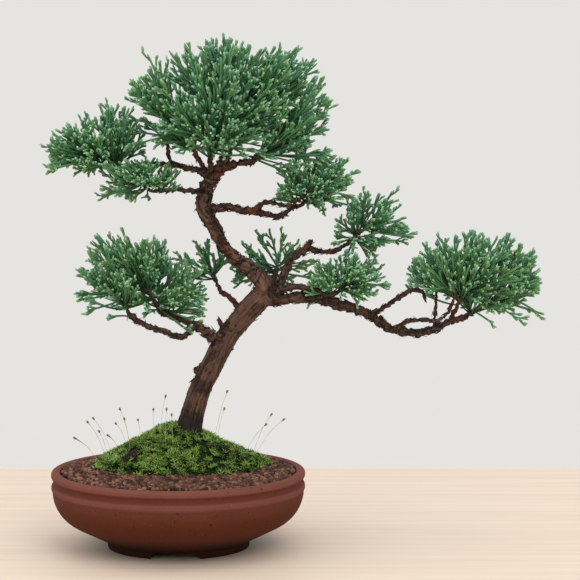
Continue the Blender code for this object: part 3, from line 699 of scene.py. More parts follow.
def grown_moss():
    """The model's mound, grown up over the roots and round the trunk, with a lumpy top."""
    bed = merged_copy("moss_mound")
    bmesh.ops.subdivide_edges(bed, edges=bed.edges, cuts=2, use_grid_fill=True)
    wood = bvhtree.BVHTree.FromBMesh(merged_copy("trunk_and_branches"))
    for vert in bed.verts:
        if vert.co.z < soil_high.z - 0.5 * MM:
            continue
        from_trunk = (vert.co.xy - TRUNK_FOOT).length
        above = Vector((vert.co.x, vert.co.y, vert.co.z + 12 * MM))
        hit = wood.ray_cast(above, (0, 0, -1), 30 * MM)[0]
        bare = abs(vert.co.x - pot_axis.x + BARE_ROOT[0]) < BARE_ROOT[1]
        if hit and from_trunk > ROOTS_FROM_TRUNK and not bare:
            vert.co.z = max(vert.co.z, hit.z + ROOT_COVER)
        near = max(0.0, 1 - max(0.0, from_trunk - COLLAR_REACH[0]) / (COLLAR_REACH[1] - COLLAR_REACH[0]))
        front = 0.5 - 0.5 * math.sin(math.atan2(vert.co.y - TRUNK_FOOT.y, vert.co.x - TRUNK_FOOT.x))
        vert.co.z += COLLAR_HEIGHT * front * near * near * (3 - 2 * near)
    bmesh.ops.smooth_vert(bed, verts=bed.verts, factor=0.5, use_axis_z=True)
    for vert in bed.verts:
        if vert.co.z > soil_high.z + 1.5 * MM:
            vert.co.z += (1.8 * noise.noise(vert.co * 140) + 0.7 * noise.noise(vert.co * 450) - 1.0) * MM
    bed.normal_update()
    return bed


def shoot_seats(bed, random):
    """Where the shoots stand, with which way is up there: all over the bed, and loose ones round it."""
    seats, ups = surface_points(bed, SHOOT_COUNT, random, lambda places, normals: normals[:, 2] > 0.02)
    angles = random.uniform(0, math.tau, LOOSE_COUNT)
    reach = random.uniform(*LOOSE_REACH, LOOSE_COUNT)
    loose = np.stack([moss_centre[0] + moss_half_size[0] * reach * np.cos(angles),
                      moss_centre[1] + moss_half_size[1] * reach * np.sin(angles),
                      np.full(LOOSE_COUNT, soil_high.z + 1.0 * MM)], axis=1)
    kept = [math.hypot(x - pot_axis.x, y - pot_axis.y) < soil_radius and moss_edge(x, y) < LOOSE_EDGE
            for x, y, _z in loose]
    seats = np.concatenate([seats, loose[kept]])
    ups = np.concatenate([ups, np.tile((0.0, 0.0, 1.0), (sum(kept), 1))])
    kept = []
    for x, y, _z in seats:
        edge = 1.0 + 0.28 * noise.noise(Vector((x, y, 1)) * 130)
        gaps = 0.22 - 0.25 * (x - pot_axis.x > 15 * MM)
        kept.append(moss_edge(x, y) < edge and noise.noise(Vector((x, y, 2)) * 260) < gaps)
    return seats[kept], ups[kept]


bed = grown_moss()
moss_bed = show("moss_bed", mesh_from(bed.copy(), "moss_bed"), moss_bed_finish())
moss_bed.data.shade_smooth()
random = np.random.default_rng(47)
seats, ups = shoot_seats(bed, random)
bed.free()
leans = unit(ups + (0, 0, 0.5) + random.normal(0, 0.28, ups.shape))
lengths = random.uniform(*SHOOT_LENGTH, len(seats))
lengths *= 1 + 0.5 * np.array([noise.noise(Vector(seat) * 210) for seat in seats])
star = star_shape()
points = np.einsum("vi,mij->mvj", star[0], facing(leans, random)) * lengths[:, None, None] + seats[:, None]
stored = {"tip": star[0][None, :, 2] * 0.85, "tint": random.uniform(0, 1, (len(seats), 1))}
moss = joined_copies("moss_shoots", [(star, points, stored)], moss_finish())
for piece in (moss_bed, moss):
    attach(piece, "root")
    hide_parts("moss_mound")


# ---- The moss stalks ----
# Hair-thin stalks that some of the moss sends up, each with a small green spore capsule at its tip. Each
# one follows its own node of the model, made thinner and round.
STALK_THINNING = 0.27 * MM
CAPSULE_SWELL = 0.45 * MM
CAPSULE_LENGTH = 3.0 * MM


def stalk_finish():
    finish = Finish("moss_stalk", specular=0.3)
    mottle = finish.cloud(finish.place(), 800, 3.0)
    stem = finish.mix(mottle, (206, 204, 170), (218, 208, 180))
    capsule = finish.mix(mottle, (74, 116, 42), (128, 160, 74))
    colour = finish.mix(finish.band(finish.stored("capsule"), 0.35, 0.65), stem, capsule)
    return finish.wear(colour, 0.5 + mottle * 0.2, mottle, 0.0001, 0.5)


STALK_FINISH = stalk_finish()
for name in [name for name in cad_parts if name.startswith("moss_stalk")]:
    shape = merged_copy(name)
    tip = max((vert.co for vert in shape.verts), key=lambda place: place.z).copy()
    along = [2 * (vert.co - tip).length / CAPSULE_LENGTH - 1 for vert in shape.verts]
    near = [math.sqrt(max(0.0, 1 - share * share)) for share in along]
    for vert, head in zip(shape.verts, near):
        vert.co += vert.normal * (CAPSULE_SWELL * head - STALK_THINNING)
    stalk = show(name.replace("moss_stalk", "stalk"), mesh_from(shape, name), STALK_FINISH)
    stalk.data.shade_smooth()
    store(stalk.data, "capsule", near)
    rounding = stalk.modifiers.new("Rounding", "SUBSURF")
    rounding.levels = 1
    rounding.render_levels = 1
    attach(stalk, "root")
    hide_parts(name)


# ---- The trunk and branches ----
# The living wood, one piece from its roots to its twigs: a smooth grey-brown trunk with long fibres and
# cracks, black and damp where it leaves the moss, and gnarled flaking branches that were bent with wire.
# Each limb's line is (x, y, height above the soil, radius), in millimetres, from the pot's axis.
LIMBS = {
    "trunk": [
        (4, 8, -27, 8), (5, 8, -15, 13), (5, 8, -3, 13), (6, 8, 11, 11.5), (7, 8, 26, 10.4), (9, 8, 37, 9.6),
        (15, 6, 60, 9), (25, 4, 81, 8.7), (32, 2, 95, 8.6), (40, 1, 109, 8.7), (52, 0, 124, 9),
        (62, -1, 135, 9.4), (71, -2, 143, 7),
    ],
    "upper_trunk": [
        (72, -2, 137, 7.6), (67, -1, 150, 7.4), (58, 2, 159, 6.3), (49, 4, 166, 5.7), (39, 6, 174, 5.5),
        (32, 7, 185, 5.4), (27, 7, 196, 5.5), (21, 6, 206, 5.9), (21, 5, 217, 6.1), (25, 4, 228, 5.5),
        (32, 3, 237, 4.8), (37, 3, 246, 4.2), (40, 4, 256, 3.4), (38, 5, 270, 2.4), (37, 5, 286, 1.5),
    ],
    "long_branch": [
        (66, -2, 137, 6), (80, -5, 137, 4.8), (89, -7, 138, 4.5), (99, -8, 139, 4.4), (111, -8, 138, 4.2),
        (129, -6, 132, 3.9), (147, -4, 126, 3.7), (165, -5, 115, 3.5), (176, -6, 112, 3.4),
        (185, -7, 111, 3.4), (194, -7, 112, 3.2), (202, -6, 114, 3), (210, -4, 118, 2.8),
        (221, -2, 122, 2.5), (231, 0, 126, 2.2), (239, 2, 132, 1.8), (247, 4, 142, 1.2),
    ],
    "upper_right_branch": [
        (21, 5, 208, 4), (30, 2, 208, 3.4), (40, 0, 209, 3.3), (51, -1, 207, 3.3), (58, -1, 206, 3.1),
        (71, 4, 203, 2.2), (78, 6, 201, 2.2), (84, 7, 204, 2), (90, 7, 208, 1.9), (97, 7, 211, 1.7),
        (106, 8, 217, 1.4),
    ],
    "left_root": [
        (-2, 6, 15, 6), (-14, 0, 20, 5), (-30, -6, 17, 4.2), (-43, -9, 10, 3.6), (-51, -10, 1, 3.2),
        (-56, -10, -12, 2.4),
    ],
    "right_root": [
        (11, 5, 21, 5), (30, -2, 21, 3), (44, -6, 17, 2.4), (56, -8, 11, 2), (65, -9, 4, 1.8),
        (70, -9, -7, 1.5),
    ],
    "lower_left": [
        (36, 0, 103, 4.6), (30, -4, 107, 4.7), (26, -7, 108, 4.4), (21, -9, 113, 3.8), (15, -10, 117, 3.6),
        (7, -11, 120, 2.8), (1, -10, 123, 2.6), (-7, -9, 125, 2.5), (-13, -8, 128, 2.3), (-17, -7, 135, 2),
        (-23, -6, 144, 1.4),
    ],
    "lower_left_front": [
        (14, -10, 117, 2.9), (9, -14, 112, 2.8), (4, -16, 109, 2.6), (-4, -18, 111, 2.4),
        (-13, -19, 115, 2.3), (-22, -20, 118, 2.2), (-29, -20, 121, 2), (-35, -20, 126, 1.7),
        (-40, -19, 133, 1.4), (-44, -17, 143, 1.1),
    ],
    "back_left": [
        (51, 2, 122, 3.5), (47, 10, 130, 2.6), (40, 18, 137, 2.2), (33, 24, 141, 1.9), (30, 29, 146, 1.7),
        (26, 33, 154, 1.4),
    ],
    "back_right": [(68, 2, 141, 3.5), (73, 16, 147, 2.6), (76, 26, 153, 2), (78, 34, 159, 1.6)],
    "middle_right": [
        (72, -1, 139, 5), (79, -2, 147, 3.7), (83, -2, 156, 3.2), (88, -1, 167, 3), (94, 0, 172, 2.9),
        (101, 1, 177, 3), (108, 3, 175, 2.5), (116, 4, 174, 2.2), (123, 5, 174, 2), (130, 6, 178, 1.8),
        (137, 6, 184, 1.6), (144, 6, 191, 1.2),
    ],
    "inner_right": [
        (74, -5, 141, 3.4), (83, -11, 146, 2.9), (93, -15, 148, 2.8), (105, -17, 146, 2.7),
        (116, -17, 143, 2.5), (124, -16, 143, 2), (130, -15, 150, 1.5),
    ],
    "arching_twig": [
        (149, -4, 124, 2.4), (157, -2, 128, 2.1), (164, 0, 132, 2), (172, 2, 137, 2), (180, 3, 142, 1.9),
        (186, 4, 144, 1.8), (191, 4, 143, 1.7), (194, 4, 138, 1.5), (195, 4, 133, 1.2),
    ],
    "upright_twig": [(201, -6, 114, 1.8), (201, -6, 123, 1.4), (202, -5, 134, 1.2), (203, -4, 150, 1)],
    "end_strand": [
        (170, -7, 113, 2.2), (177, -13, 120, 2), (185, -15, 122, 1.9), (194, -15, 122, 1.8),
        (202, -13, 121, 1.7), (209, -12, 125, 1.5), (214, -12, 133, 1.3), (217, -11, 146, 1),
    ],
    "end_twig": [(212, -3, 119, 2.2), (217, -3, 128, 1.8), (221, -3, 136, 1.6), (225, -3, 146, 1.2)],
    "upper_right_strand": [
        (58, -1, 206, 2.4), (69, -5, 213, 2), (78, -6, 212, 1.9), (86, -6, 210, 1.8), (94, -5, 214, 1.5),
        (102, -4, 222, 1.1),
    ],
    "left_low": [
        (21, 4, 220, 3), (9, -3, 222, 1.9), (-2, -7, 223, 1.6), (-10, -9, 222, 1.5), (-19, -10, 222, 1.4),
        (-26, -11, 227, 1.1),
    ],
    "left_top": [
        (28, 3, 230, 3.8), (21, 4, 235, 3.2), (15, 5, 238, 2.8), (8, 6, 239, 2.5), (-4, 8, 242, 2.2),
        (-22, 9, 242, 1.9), (-31, 8, 242, 1.7), (-40, 7, 241, 1.6), (-49, 5, 240, 1.5), (-57, 4, 242, 1.4),
        (-64, 3, 248, 1.1),
    ],
    "left_top_twig": [(-4, 8, 241, 2), (-7, 8, 250, 1.6), (-8, 8, 262, 1.3), (-8, 8, 270, 1)],
    "crown_right": [
        (33, 3, 239, 4), (47, 1, 243, 3.2), (55, 0, 244, 2.8), (62, -1, 247, 2.5), (68, -2, 252, 2.2),
        (74, -3, 259, 1.8), (79, -3, 271, 1.4),
    ],
    "crown_front": [(26, 1, 232, 3), (26, -6, 242, 2.1), (27, -12, 252, 1.8), (29, -18, 264, 1.3)],
    "crown_back": [(36, 5, 242, 2.6), (40, 13, 252, 2), (44, 21, 266, 1.6), (46, 26, 280, 1.1)],
    "crown_left": [(25, 3, 233, 2.6), (16, 2, 248, 2), (8, 0, 262, 1.6), (2, -1, 276, 1.1)],
    "left_stub": [(9, 7, 79, 2.4), (20, 5, 81, 4)],
    "mid_stub": [(28, -2, 125, 1.8), (34, -2, 117, 2.4), (42, 0, 112, 4)],
    "broken_stub": [(101, 1, 177, 2.6), (104, -1, 183, 2.2), (105, -2, 188, 1.8)],
}
LIMB_STEPS = 8
WOOD_VOXEL = 0.75 * MM
TRUNK_RADIUS = 7.0 * MM
STUB_CUT = 5.0 * MM
ROOT_SPAN = (-46.0 * MM, 52.0 * MM)
ROOT_END_HEIGHT = 16.0 * MM
ROOT_END_DROP = 6.0 * MM
STUB_ENDS = {"left_stub": (0, -1), "mid_stub": (0, -1), "broken_stub": (-1, 0)}
BARK_STRETCH = 0.07
FIBRE_TWIST = (45.0, 2.0)
TRUNK_FROM = 0.95
FIBRE_HEIGHT = 0.4 * MM
STRAND_HEIGHT = 0.9 * MM
KNOT_HEIGHT = 3.4 * MM
BRANCH_GNARL = (0.5, 1.2 * MM)
TRUNK_GNARL = (0.10, 0.25 * MM)
RELIEF_SINK = 0.25 * MM
# The sink at which the painted shade in the bark's creases is full.
CREASE_DEPTH = 0.6 * MM
RED_FROM = (110.0 * MM, 140.0 * MM)
DAMP_BELOW = (102.0 * MM, 84.0 * MM)
FLAKE_COUNT = 2200
FLAKE_LENGTH = (2.5 * MM, 6.5 * MM)
FLAKE_WIDTH = (0.5 * MM, 1.0 * MM)
FLAKE_FLATNESS = 0.25
FLAKES_START = 30.0 * MM


def limb_line(points, steps):
    """A limb's smooth line through its listed points, as rows of (x, y, z, radius) in metres."""
    rows = np.array(points, float) * MM + (*pot_axis[:2], soil_high.z, 0)
    rows = np.concatenate([[2 * rows[0] - rows[1]], rows, [2 * rows[-1] - rows[-2]]])
    line = []
    for before, start, end, after in zip(rows, rows[1:], rows[2:], rows[3:]):
        for step in range(steps):
            t = step / steps
            bend = 2 * before - 5 * start + 4 * end - after
            twist = 3 * start - before - 3 * end + after
            line.append(start + 0.5 * ((end - before) * t + bend * t * t + twist * t ** 3))
    line.append(rows[-2])
    return np.array(line)


def limb_frames():
    """All limbs' line points with, for each, its direction, a steady side and the way travelled."""
    rows = []
    for points in LIMBS.values():
        line = limb_line(points, LIMB_STEPS)
        along = unit(np.gradient(line[:, :3], axis=0))
        travelled = np.cumsum(np.linalg.norm(np.diff(line[:, :3], axis=0, prepend=line[:1, :3]), axis=1))
        side = np.array((0.3, 1.0, 0.1))
        for place, ahead, way in zip(line, along, travelled):
            side = unit(side - ahead * side.dot(ahead))
            rows.append((*place, *ahead, *side, way))
    return np.array(rows)


def wood_shape():
    """The model's wood, remeshed finely enough to carry bark."""
    shape = merged_copy("trunk_and_branches")
    for name, ends in STUB_ENDS.items():
        tip, base = (Vector(limb_line(LIMBS[name], 1)[end][:3]) for end in ends)
        reach = 0.5 * (tip - base).length
        for vert in shape.verts:
            share = (vert.co - tip).length / reach
            if share < 1:
                vert.co += (base - tip).normalized() * STUB_CUT * (1 - share * share)
    for vert in shape.verts:
        spread = vert.co.x - pot_axis.x
        if vert.co.z < soil_high.z + ROOT_END_HEIGHT and not ROOT_SPAN[0] < spread < ROOT_SPAN[1]:
            vert.co.z -= ROOT_END_DROP
    rough = show("rough_wood", mesh_from(shape, "rough_wood"), WIRE_FINISH)
    fine = rough.modifiers.new("Fine", "REMESH")
    fine.mode = "VOXEL"
    fine.voxel_size = WOOD_VOXEL
    relax = rough.modifiers.new("Relax", "SMOOTH")
    relax.factor = 0.5
    relax.iterations = 4
    return settled_mesh(rough)


def cord_shape(sides, levels):
    """A cord one unit long along +Z and one in radius, closed, with a blunt end."""
    shape = bmesh.new()
    bmesh.ops.create_circle(shape, segments=sides, radius=levels[0][1], cap_ends=True)
    face = shape.faces[:][0]
    for height, width in levels[1:]:
        face = bmesh.ops.extrude_discrete_faces(shape, faces=[face])["faces"][0]
        for vert in face.verts:
            out = Vector((vert.co.x, vert.co.y)).normalized() * width
            vert.co = (*out, height)
    bmesh.ops.recalc_face_normals(shape, faces=shape.faces)
    return arrays_from(shape)


def laid(cord, start, control, end, side, width):
    """Copies of a cord bent along curves from start to end, each with its own width."""
    t = cord[0][None, :, 2:3]
    middle = (1 - t) ** 2 * start[:, None] + 2 * t * (1 - t) * control[:, None] + t * t * end[:, None]
    ahead = unit((1 - t) * (control - start)[:, None] + t * (end - control)[:, None])
    across = unit(np.cross(ahead, side[:, None]))
    above = np.cross(across, ahead)
    return middle + width[:, None, None] * (cord[0][None, :, 0:1] * across + cord[0][None, :, 1:2] * above)


def bark_finish():
    finish = Finish("juniper_bark", specular=0.25)
    place = finish.place()
    grain = finish.stored("grain", "Vector")
    thick = finish.stored("thick")
    crease = finish.stored("crease")
    above_soil = finish.node("ShaderNodeSeparateXYZ", {}, {0: place}, "Z") - soil_high.z
    fibres = finish.cloud(grain, 700, 5.0, 0.65)
    strips = finish.cloud(grain, 330, 3.0)
    patches = finish.cloud(place, 45, 3.0)
    branch = finish.mix(finish.band(fibres, 0.3, 0.72), (28, 19, 14), (95, 73, 60))
    trunk = finish.mix(finish.band(fibres, 0.3, 0.72), (62, 44, 35), (110, 80, 66))
    trunk = finish.mix(finish.band(strips, 0.5, 0.75) * 0.5, trunk, (132, 104, 90))
    colour = finish.mix(finish.band(thick, 0.45, 0.65), branch, trunk)
    reddish = finish.band(above_soil, *RED_FROM) * 0.6
    colour = finish.mix(finish.band(patches, 0.5, 0.65) * reddish, colour, (112, 60, 38))
    colour = finish.mix(finish.band(strips, 0.42, 0.30) * 0.6, colour, (34, 24, 20))
    # Painted shade in the bark's creases, darkest where the relief sinks deepest.
    colour = finish.mix(finish.band(crease, 0.0, 1.0) * 0.8, colour, (22, 15, 12))
    damp = finish.band(above_soil + patches * 0.07 + strips * 0.02, *DAMP_BELOW)
    colour = finish.mix(damp * 0.9, colour, (27, 24, 23))
    return finish.wear(colour, 0.9 - fibres * 0.25, fibres + strips * 0.6, 0.0006, 0.9)


def limb_finder(rows):
    """A finder of the limb point nearest to a place, without those buried in a thicker limb."""
    apart = np.linalg.norm(rows[:, None, :3] - rows[None, :, :3], axis=2)
    buried = ((rows[None, :, 3] > 1.35 * rows[:, None, 3]) & (apart < 1.1 * rows[None, :, 3])).any(1)
    tree = kdtree.KDTree(len(rows))
    for index, row in enumerate(rows):
        if not buried[index]:
            tree.insert(row[:3], index)
    tree.balance()
    return tree


def bark_relief(mesh, rows, tree):
    """Raises fibres, knots and gnarls along each limb, and stores the bark's own coordinates and how deep
    its relief sinks, for painted shade in the creases.
    """
    points = np.array([vert.co for vert in mesh.vertices])
    normals = np.array([vert.normal for vert in mesh.vertices])
    near = rows[[tree.find(point)[1] for point in points]]
    radius, along, side, way = near[:, 3], near[:, 4:7], near[:, 7:10], near[:, 10]
    out = points - near[:, :3]
    across = np.cross(along, side)
    way = way + (out * along).sum(1)
    angle = np.arctan2((out * across).sum(1), (out * side).sum(1))
    thick = np.clip(radius / TRUNK_RADIUS, 0, 1.6)
    angle = angle + way * np.where(thick > TRUNK_FROM, FIBRE_TWIST[1], FIBRE_TWIST[0])
    grain = np.stack([np.cos(angle) * radius, np.sin(angle) * radius, way * BARK_STRETCH], axis=1)
    relief = np.empty(len(points))
    for index, (own, place) in enumerate(zip(map(Vector, grain), map(Vector, points))):
        fibre = noise.noise(own * 620)
        strand = noise.noise(own * 330 + Vector((5, 0, 0)))
        gnarl = noise.noise(place * (0.55 / max(radius[index], 2.0 * MM)))
        flake = noise.noise(place * 330)
        knot = max(0.0, noise.noise(place * 95 + Vector((0, 3, 0))) - 0.42)
        relief[index] = (0.5 - abs(fibre)) * FIBRE_HEIGHT + (0.3 - abs(strand)) * STRAND_HEIGHT
        swell, roughness = BRANCH_GNARL if thick[index] < TRUNK_FROM else TRUNK_GNARL
        relief[index] += knot * KNOT_HEIGHT + gnarl * radius[index] * swell + flake * roughness
    relief -= RELIEF_SINK
    points += normals * relief[:, None]
    mesh.vertices.foreach_set("co", points.ravel())
    store(mesh, "grain", grain, "FLOAT_VECTOR", "vector")
    store(mesh, "thick", thick)
    # How deep the relief sinks, which the material paints as shade in the creases.
    store(mesh, "crease", np.clip(-relief / CREASE_DEPTH, 0, 1))
    mesh.update()


def bark_flakes(mesh, rows, tree, random):
    """Thin strips of dead bark that lie along the limbs with their ends curled off."""
    flat = cord_shape(4, [(0, 0.5), (0.3, 1.0), (0.7, 0.9), (1.0, 0.3)])
    flat[0][:, 1] *= FLAKE_FLATNESS
    skin = np.array([(*vert.co, *vert.normal) for vert in mesh.vertices])
    skin = skin[skin[:, 2] > soil_high.z + FLAKES_START]
    seats = skin[random.integers(0, len(skin), FLAKE_COUNT)]
    near = rows[[tree.find(seat[:3])[1] for seat in seats]]
    kept = (near[:, 3] < TRUNK_RADIUS) | (random.uniform(size=len(seats)) < 0.25)
    seats, near = seats[kept], near[kept]
    count = len(seats)
    place, out = seats[:, :3], seats[:, 3:]
    along = near[:, 4:7] * random.choice((-1, 1), (count, 1)) + random.normal(0, 0.25, (count, 3))
    along = unit(along - out * (along * out).sum(1, keepdims=True))
    length = random.uniform(*FLAKE_LENGTH, (count, 1))
    lift = random.uniform(0.0, 0.35, (count, 1))
    start = place - along * length * 0.5 - out * 0.3 * MM
    control = place + out * 0.25 * MM
    end = place + along * length * 0.5 + out * lift * length
    points = laid(flat, start, control, end, np.cross(np.cross(along, out), along),
                  random.uniform(*FLAKE_WIDTH, count))
    flakes = joined_copies("bark_flakes", [(flat, points, {"thick": 0.3})], BARK_FINISH)
    way = np.broadcast_to(near[:, 10, None] * BARK_STRETCH, points.shape[:2])
    grain = np.concatenate([points[:, :, :2], way[:, :, None]], axis=2)
    store(flakes.data, "grain", grain, "FLOAT_VECTOR", "vector")
    return flakes


BARK_FINISH = bark_finish()
limb_rows = limb_frames()
wood_mesh = wood_shape()
limb_tree = limb_finder(limb_rows)
bark_relief(wood_mesh, limb_rows, limb_tree)
wood_mesh.shade_smooth()
wood = show("trunk_and_bark", wood_mesh, BARK_FINISH)
flakes = bark_flakes(wood_mesh, limb_rows, limb_tree, np.random.default_rng(59))
for piece in (wood, flakes):
    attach(piece, "root")
    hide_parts("trunk_and_branches")


# ---- The training wires ----
# Soft anodised aluminium wire, wound round the upper trunk and the branches to hold their bends. Each
# one follows its node of the model, made round and pressed down to the bark.
WIRE_SWELL = 0.10 * MM
WIRE_SINK = 0.9 * MM
WIRE_STAND = 1.5 * MM

bark = bmesh.new()
bark.from_mesh(wood_mesh)
bark_surface = bvhtree.BVHTree.FromBMesh(bark)
bark.free()
for name in ("wire_long_branch", "wire_upper_right"):
    shape = merged_copy(name)
    for vert in shape.verts:
        core = Vector(limb_rows[limb_tree.find(vert.co)[1]][:3])
        vert.co += vert.normal * WIRE_SWELL + (core - vert.co).normalized() * WIRE_SINK
        nearest, out, _face, gap = bark_surface.find_nearest(vert.co)
        if (vert.co - nearest).dot(out) > 0:
            stand = WIRE_STAND * (1 - math.exp(-gap / WIRE_STAND))
            vert.co = nearest.lerp(vert.co, stand / max(gap, MERGE_DISTANCE))
    coil = show(name.replace("wire", "training_wire"), mesh_from(shape, name), WIRE_FINISH)
    coil.data.shade_smooth()
    rounding = coil.modifiers.new("Rounding", "SUBSURF")
    rounding.levels = 2
    rounding.render_levels = 2
    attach(coil, "root")
    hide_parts(name)


# ---- The foliage ----
# Scale-leaved juniper: each pad is a brush of cord-like shoots, 1.5 to 2 mm thick, that fan out from the
# ends of the twigs and fork twice into stubby, lighter tips. Sparser ones hang at its lower edge.
# Each pad has its number of strands, of brushes and of pieces, and where it starts, as in the limbs.
PADS = {
    "crown": (345, 30, 2, (30, 2, 244)),
    "left_end": (106, 10, 1, (-50, 4, 243)),
    "left_low": (62, 7, 1, (-22, -10, 223)),
    "upper_right": (78, 6, 1, (96, 3, 214)),
    "middle_right": (50, 5, 1, (136, 6, 184)),
    "inner_right": (58, 5, 1, (126, -16, 145)),
    "branch_end": (165, 14, 1, (224, -2, 128)),
    "lower_left": (158, 13, 1, (-18, -10, 130)),
    "back_left": (18, 3, 1, (29, 31, 147)),
    "back_right": (34, 4, 1, (76, 28, 154)),
}
BRUSH_DEPTH = 48 * MM
BRUSH_PULL = 0.20
END_DEPTH = (-3 * MM, 10 * MM)
STRAND_REACH = (18 * MM, 62 * MM)
STRAY_SHARE = 0.14
STRAY_STRETCH = 1.18
CORD_RADIUS = 0.84 * MM
SIDE_RADIUS = 0.84 * MM
TIP_RADIUS = 0.88 * MM
SIDE_SHARES = (0.44, 0.59, 0.73, 0.86)
SIDE_ANGLE = math.radians(30)
FORK_SHARE = 0.60
FORK_ANGLE = math.radians(36)
USUAL_REACH = 42 * MM
SLIM_LIMB = 2.7 * MM
LONGEST_TWIG = 60 * MM
SKIRT_SHARE = 0.26
SKIRT_DROP = 16 * MM
SKIRT_REACH = (24 * MM, 48 * MM)
SKIRT_FROM_WOOD = 70 * MM
TWIG_RADIUS = 0.9 * MM
PAD_EDGE = 2.0 * MM
TIP_ROOM = np.array((6.2, 6.2, 2.0)) * MM

tree_low, tree_high = (np.array(corner) for corner in cad_bounds)
slim_limbs = limb_rows[limb_rows[:, 3] < SLIM_LIMB, :3]


def forked(parents, share, hand, angle, length, random):
    """Child cords that leave their parents at a share of the way, to one hand, and bend forward."""
    start, control, end, side = parents
    share = share[:, None]
    place = (1 - share) ** 2 * start + 2 * share * (1 - share) * control + share ** 2 * end
    ahead = unit((1 - share) * (control - start) + share * (end - control))
    across = unit(np.cross(ahead, side))
    tilt = random.normal(0, 0.55, (len(start), 1))
    lean = hand * np.cos(tilt) * across + np.sin(tilt) * np.cross(across, ahead)
    angle = angle * random.uniform(0.75, 1.25, (len(start), 1))
    out = np.cos(angle) * ahead + np.sin(angle) * lean
    middle = place + 0.5 * length[:, None] * out
    tip = middle + 0.55 * length[:, None] * unit(0.55 * out + 0.45 * ahead + (0, 0, 0.10))
    return place, middle, tip, np.cross(out, lean) + 0.3 * random.normal(size=place.shape)


def leaf_finish():
    finish = Finish("juniper_scale_leaves", specular=0.4)
    place = finish.place()
    tip = finish.stored("tip")
    tint = finish.stored("tint")
    scales = finish.node("ShaderNodeTexVoronoi", {}, {"Vector": place, "Scale": 950.0}, "Distance")
    dark = finish.mix(tint, (26, 66, 38), (40, 80, 42))
    middle = finish.mix(tint, (66, 121, 84), (88, 137, 82))
    # The light tones are the tips' paler new growth with painted highlight: their bluish cast stands in for
    # the sheen of light on them.
    light = finish.mix(tint, (128, 180, 148), (154, 198, 142))
    colour = finish.mix(finish.band(tip, 0.05, 0.55), dark, middle)
    colour = finish.mix(finish.band(tip, 0.62, 1.02), colour, light)
    colour = finish.mix(finish.band(scales, 0.45, 0.75) * 0.2, colour, (34, 62, 38))
    return finish.wear(colour, 0.38 + scales * 0.3, scales * -1.0, 0.0004, 0.7)


def twig_finish():
    finish = Finish("young_twig", specular=0.3)
    place = finish.place()
    fine = finish.cloud(place, 500, 4.0)
    colour = finish.mix(finish.band(fine, 0.35, 0.65), (70, 46, 34), (128, 84, 60))
    return finish.wear(colour, 0.85 - fine * 0.2, fine, 0.0004, 0.7)


MAIN_CORD = cord_shape(5, [(0, 0.7), (0.25, 0.85), (0.5, 0.95), (0.75, 1.08), (0.95, 1.05), (1.0, 0.5)])
SIDE_CORD = cord_shape(4, [(0, 0.8), (0.45, 1.0), (0.9, 1.12), (1.0, 0.55)])
TIP_CORD = cord_shape(4, [(0, 0.85), (0.8, 1.12), (1.0, 0.6)])
TWIG_CORD = cord_shape(5, [(0, 1.0), (0.33, 0.95), (0.66, 0.9), (1.0, 0.6)])
LEAF_FINISH = leaf_finish()
TWIG_FINISH = twig_finish()


def farthest_first(places, count):
    """The numbers of this many places, each picked as far as can be from those before it."""
    picked = [0]
    room = np.linalg.norm(places - places[0], axis=1)
    while len(picked) < count:
        picked.append(int(np.argmax(room)))
        room = np.minimum(room, np.linalg.norm(places - places[picked[-1]], axis=1))
    return picked


def room_share(start, end, low, high, random):
    """The share of each strand that keeps it inside a box, and a random bit less where it would leave."""
    way = end - start
    room = ((np.where(way > 0, high, low) - start) / np.where(way == 0, 1.0, way)).min(1, keepdims=True)
    return np.where(room < 1, np.clip(room, 0.3, 1.0) * random.uniform(0.8, 1.0, room.shape), 1.0)


def pad_surface(name, count, random, weigh):
    """Random places on a pad's surface, with the normals there."""
    pad = merged_copy(f"foliage_{name}")
    places, normals = surface_points(pad, count, random, weigh)
    pad.free()
    return places, normals


def nearest_wood(places):
    """The point of the slim limbs' middle lines that is nearest to each place."""
    apart = np.linalg.norm(slim_limbs[None] - places[:, None], axis=2)
    return slim_limbs[np.argmin(apart, axis=1)]


def brush_strands(name, count, brushes, root, random):
    """Strands in brushes that fan out from inside a pad to its surface, and the ends of their twigs."""
    ends, normals = pad_surface(name, count * 4, random,
                                lambda places, normals: np.clip(0.8 + 0.4 * normals[:, 2], 0.45, 1.0))
    kept = farthest_first(ends, count)
    ends = ends[kept] - normals[kept] * random.uniform(*END_DEPTH, (count, 1))
    ups = normals[kept][:, 2:]
    centres = ends[:brushes]
    owner = np.argmin(np.linalg.norm(ends[:, None] - centres[None], axis=2), axis=1)
    ends = ends + BRUSH_PULL * (centres[owner] - ends)
    joint = nearest_wood(root + 0.35 * (centres - root))
    joint = np.where(size_of(joint - root) < LONGEST_TWIG, joint, root)
    depth = size_of(joint - centres)
    origin = centres + (joint - centres) * np.minimum(1.0, BRUSH_DEPTH / depth)
    away = ends - origin[owner]
    reach = size_of(away) * random.uniform(0.82, 1.08, (count, 1))
    reach *= np.where((random.uniform(size=(count, 1)) < STRAY_SHARE) & (ups < 0.5), STRAY_STRETCH, 1.0)
    reach = np.clip(reach, *STRAND_REACH)
    heading = unit(unit(away) + random.normal(0, 0.13, away.shape))
    start = origin[owner] + 0.08 * heading * reach
    control = start + heading * reach * 0.5 - (0, 0, 0.07) * reach
    control = control + random.normal(0, 0.045, away.shape) * reach
    return (start, control, start + heading * reach, reach), (joint, origin)


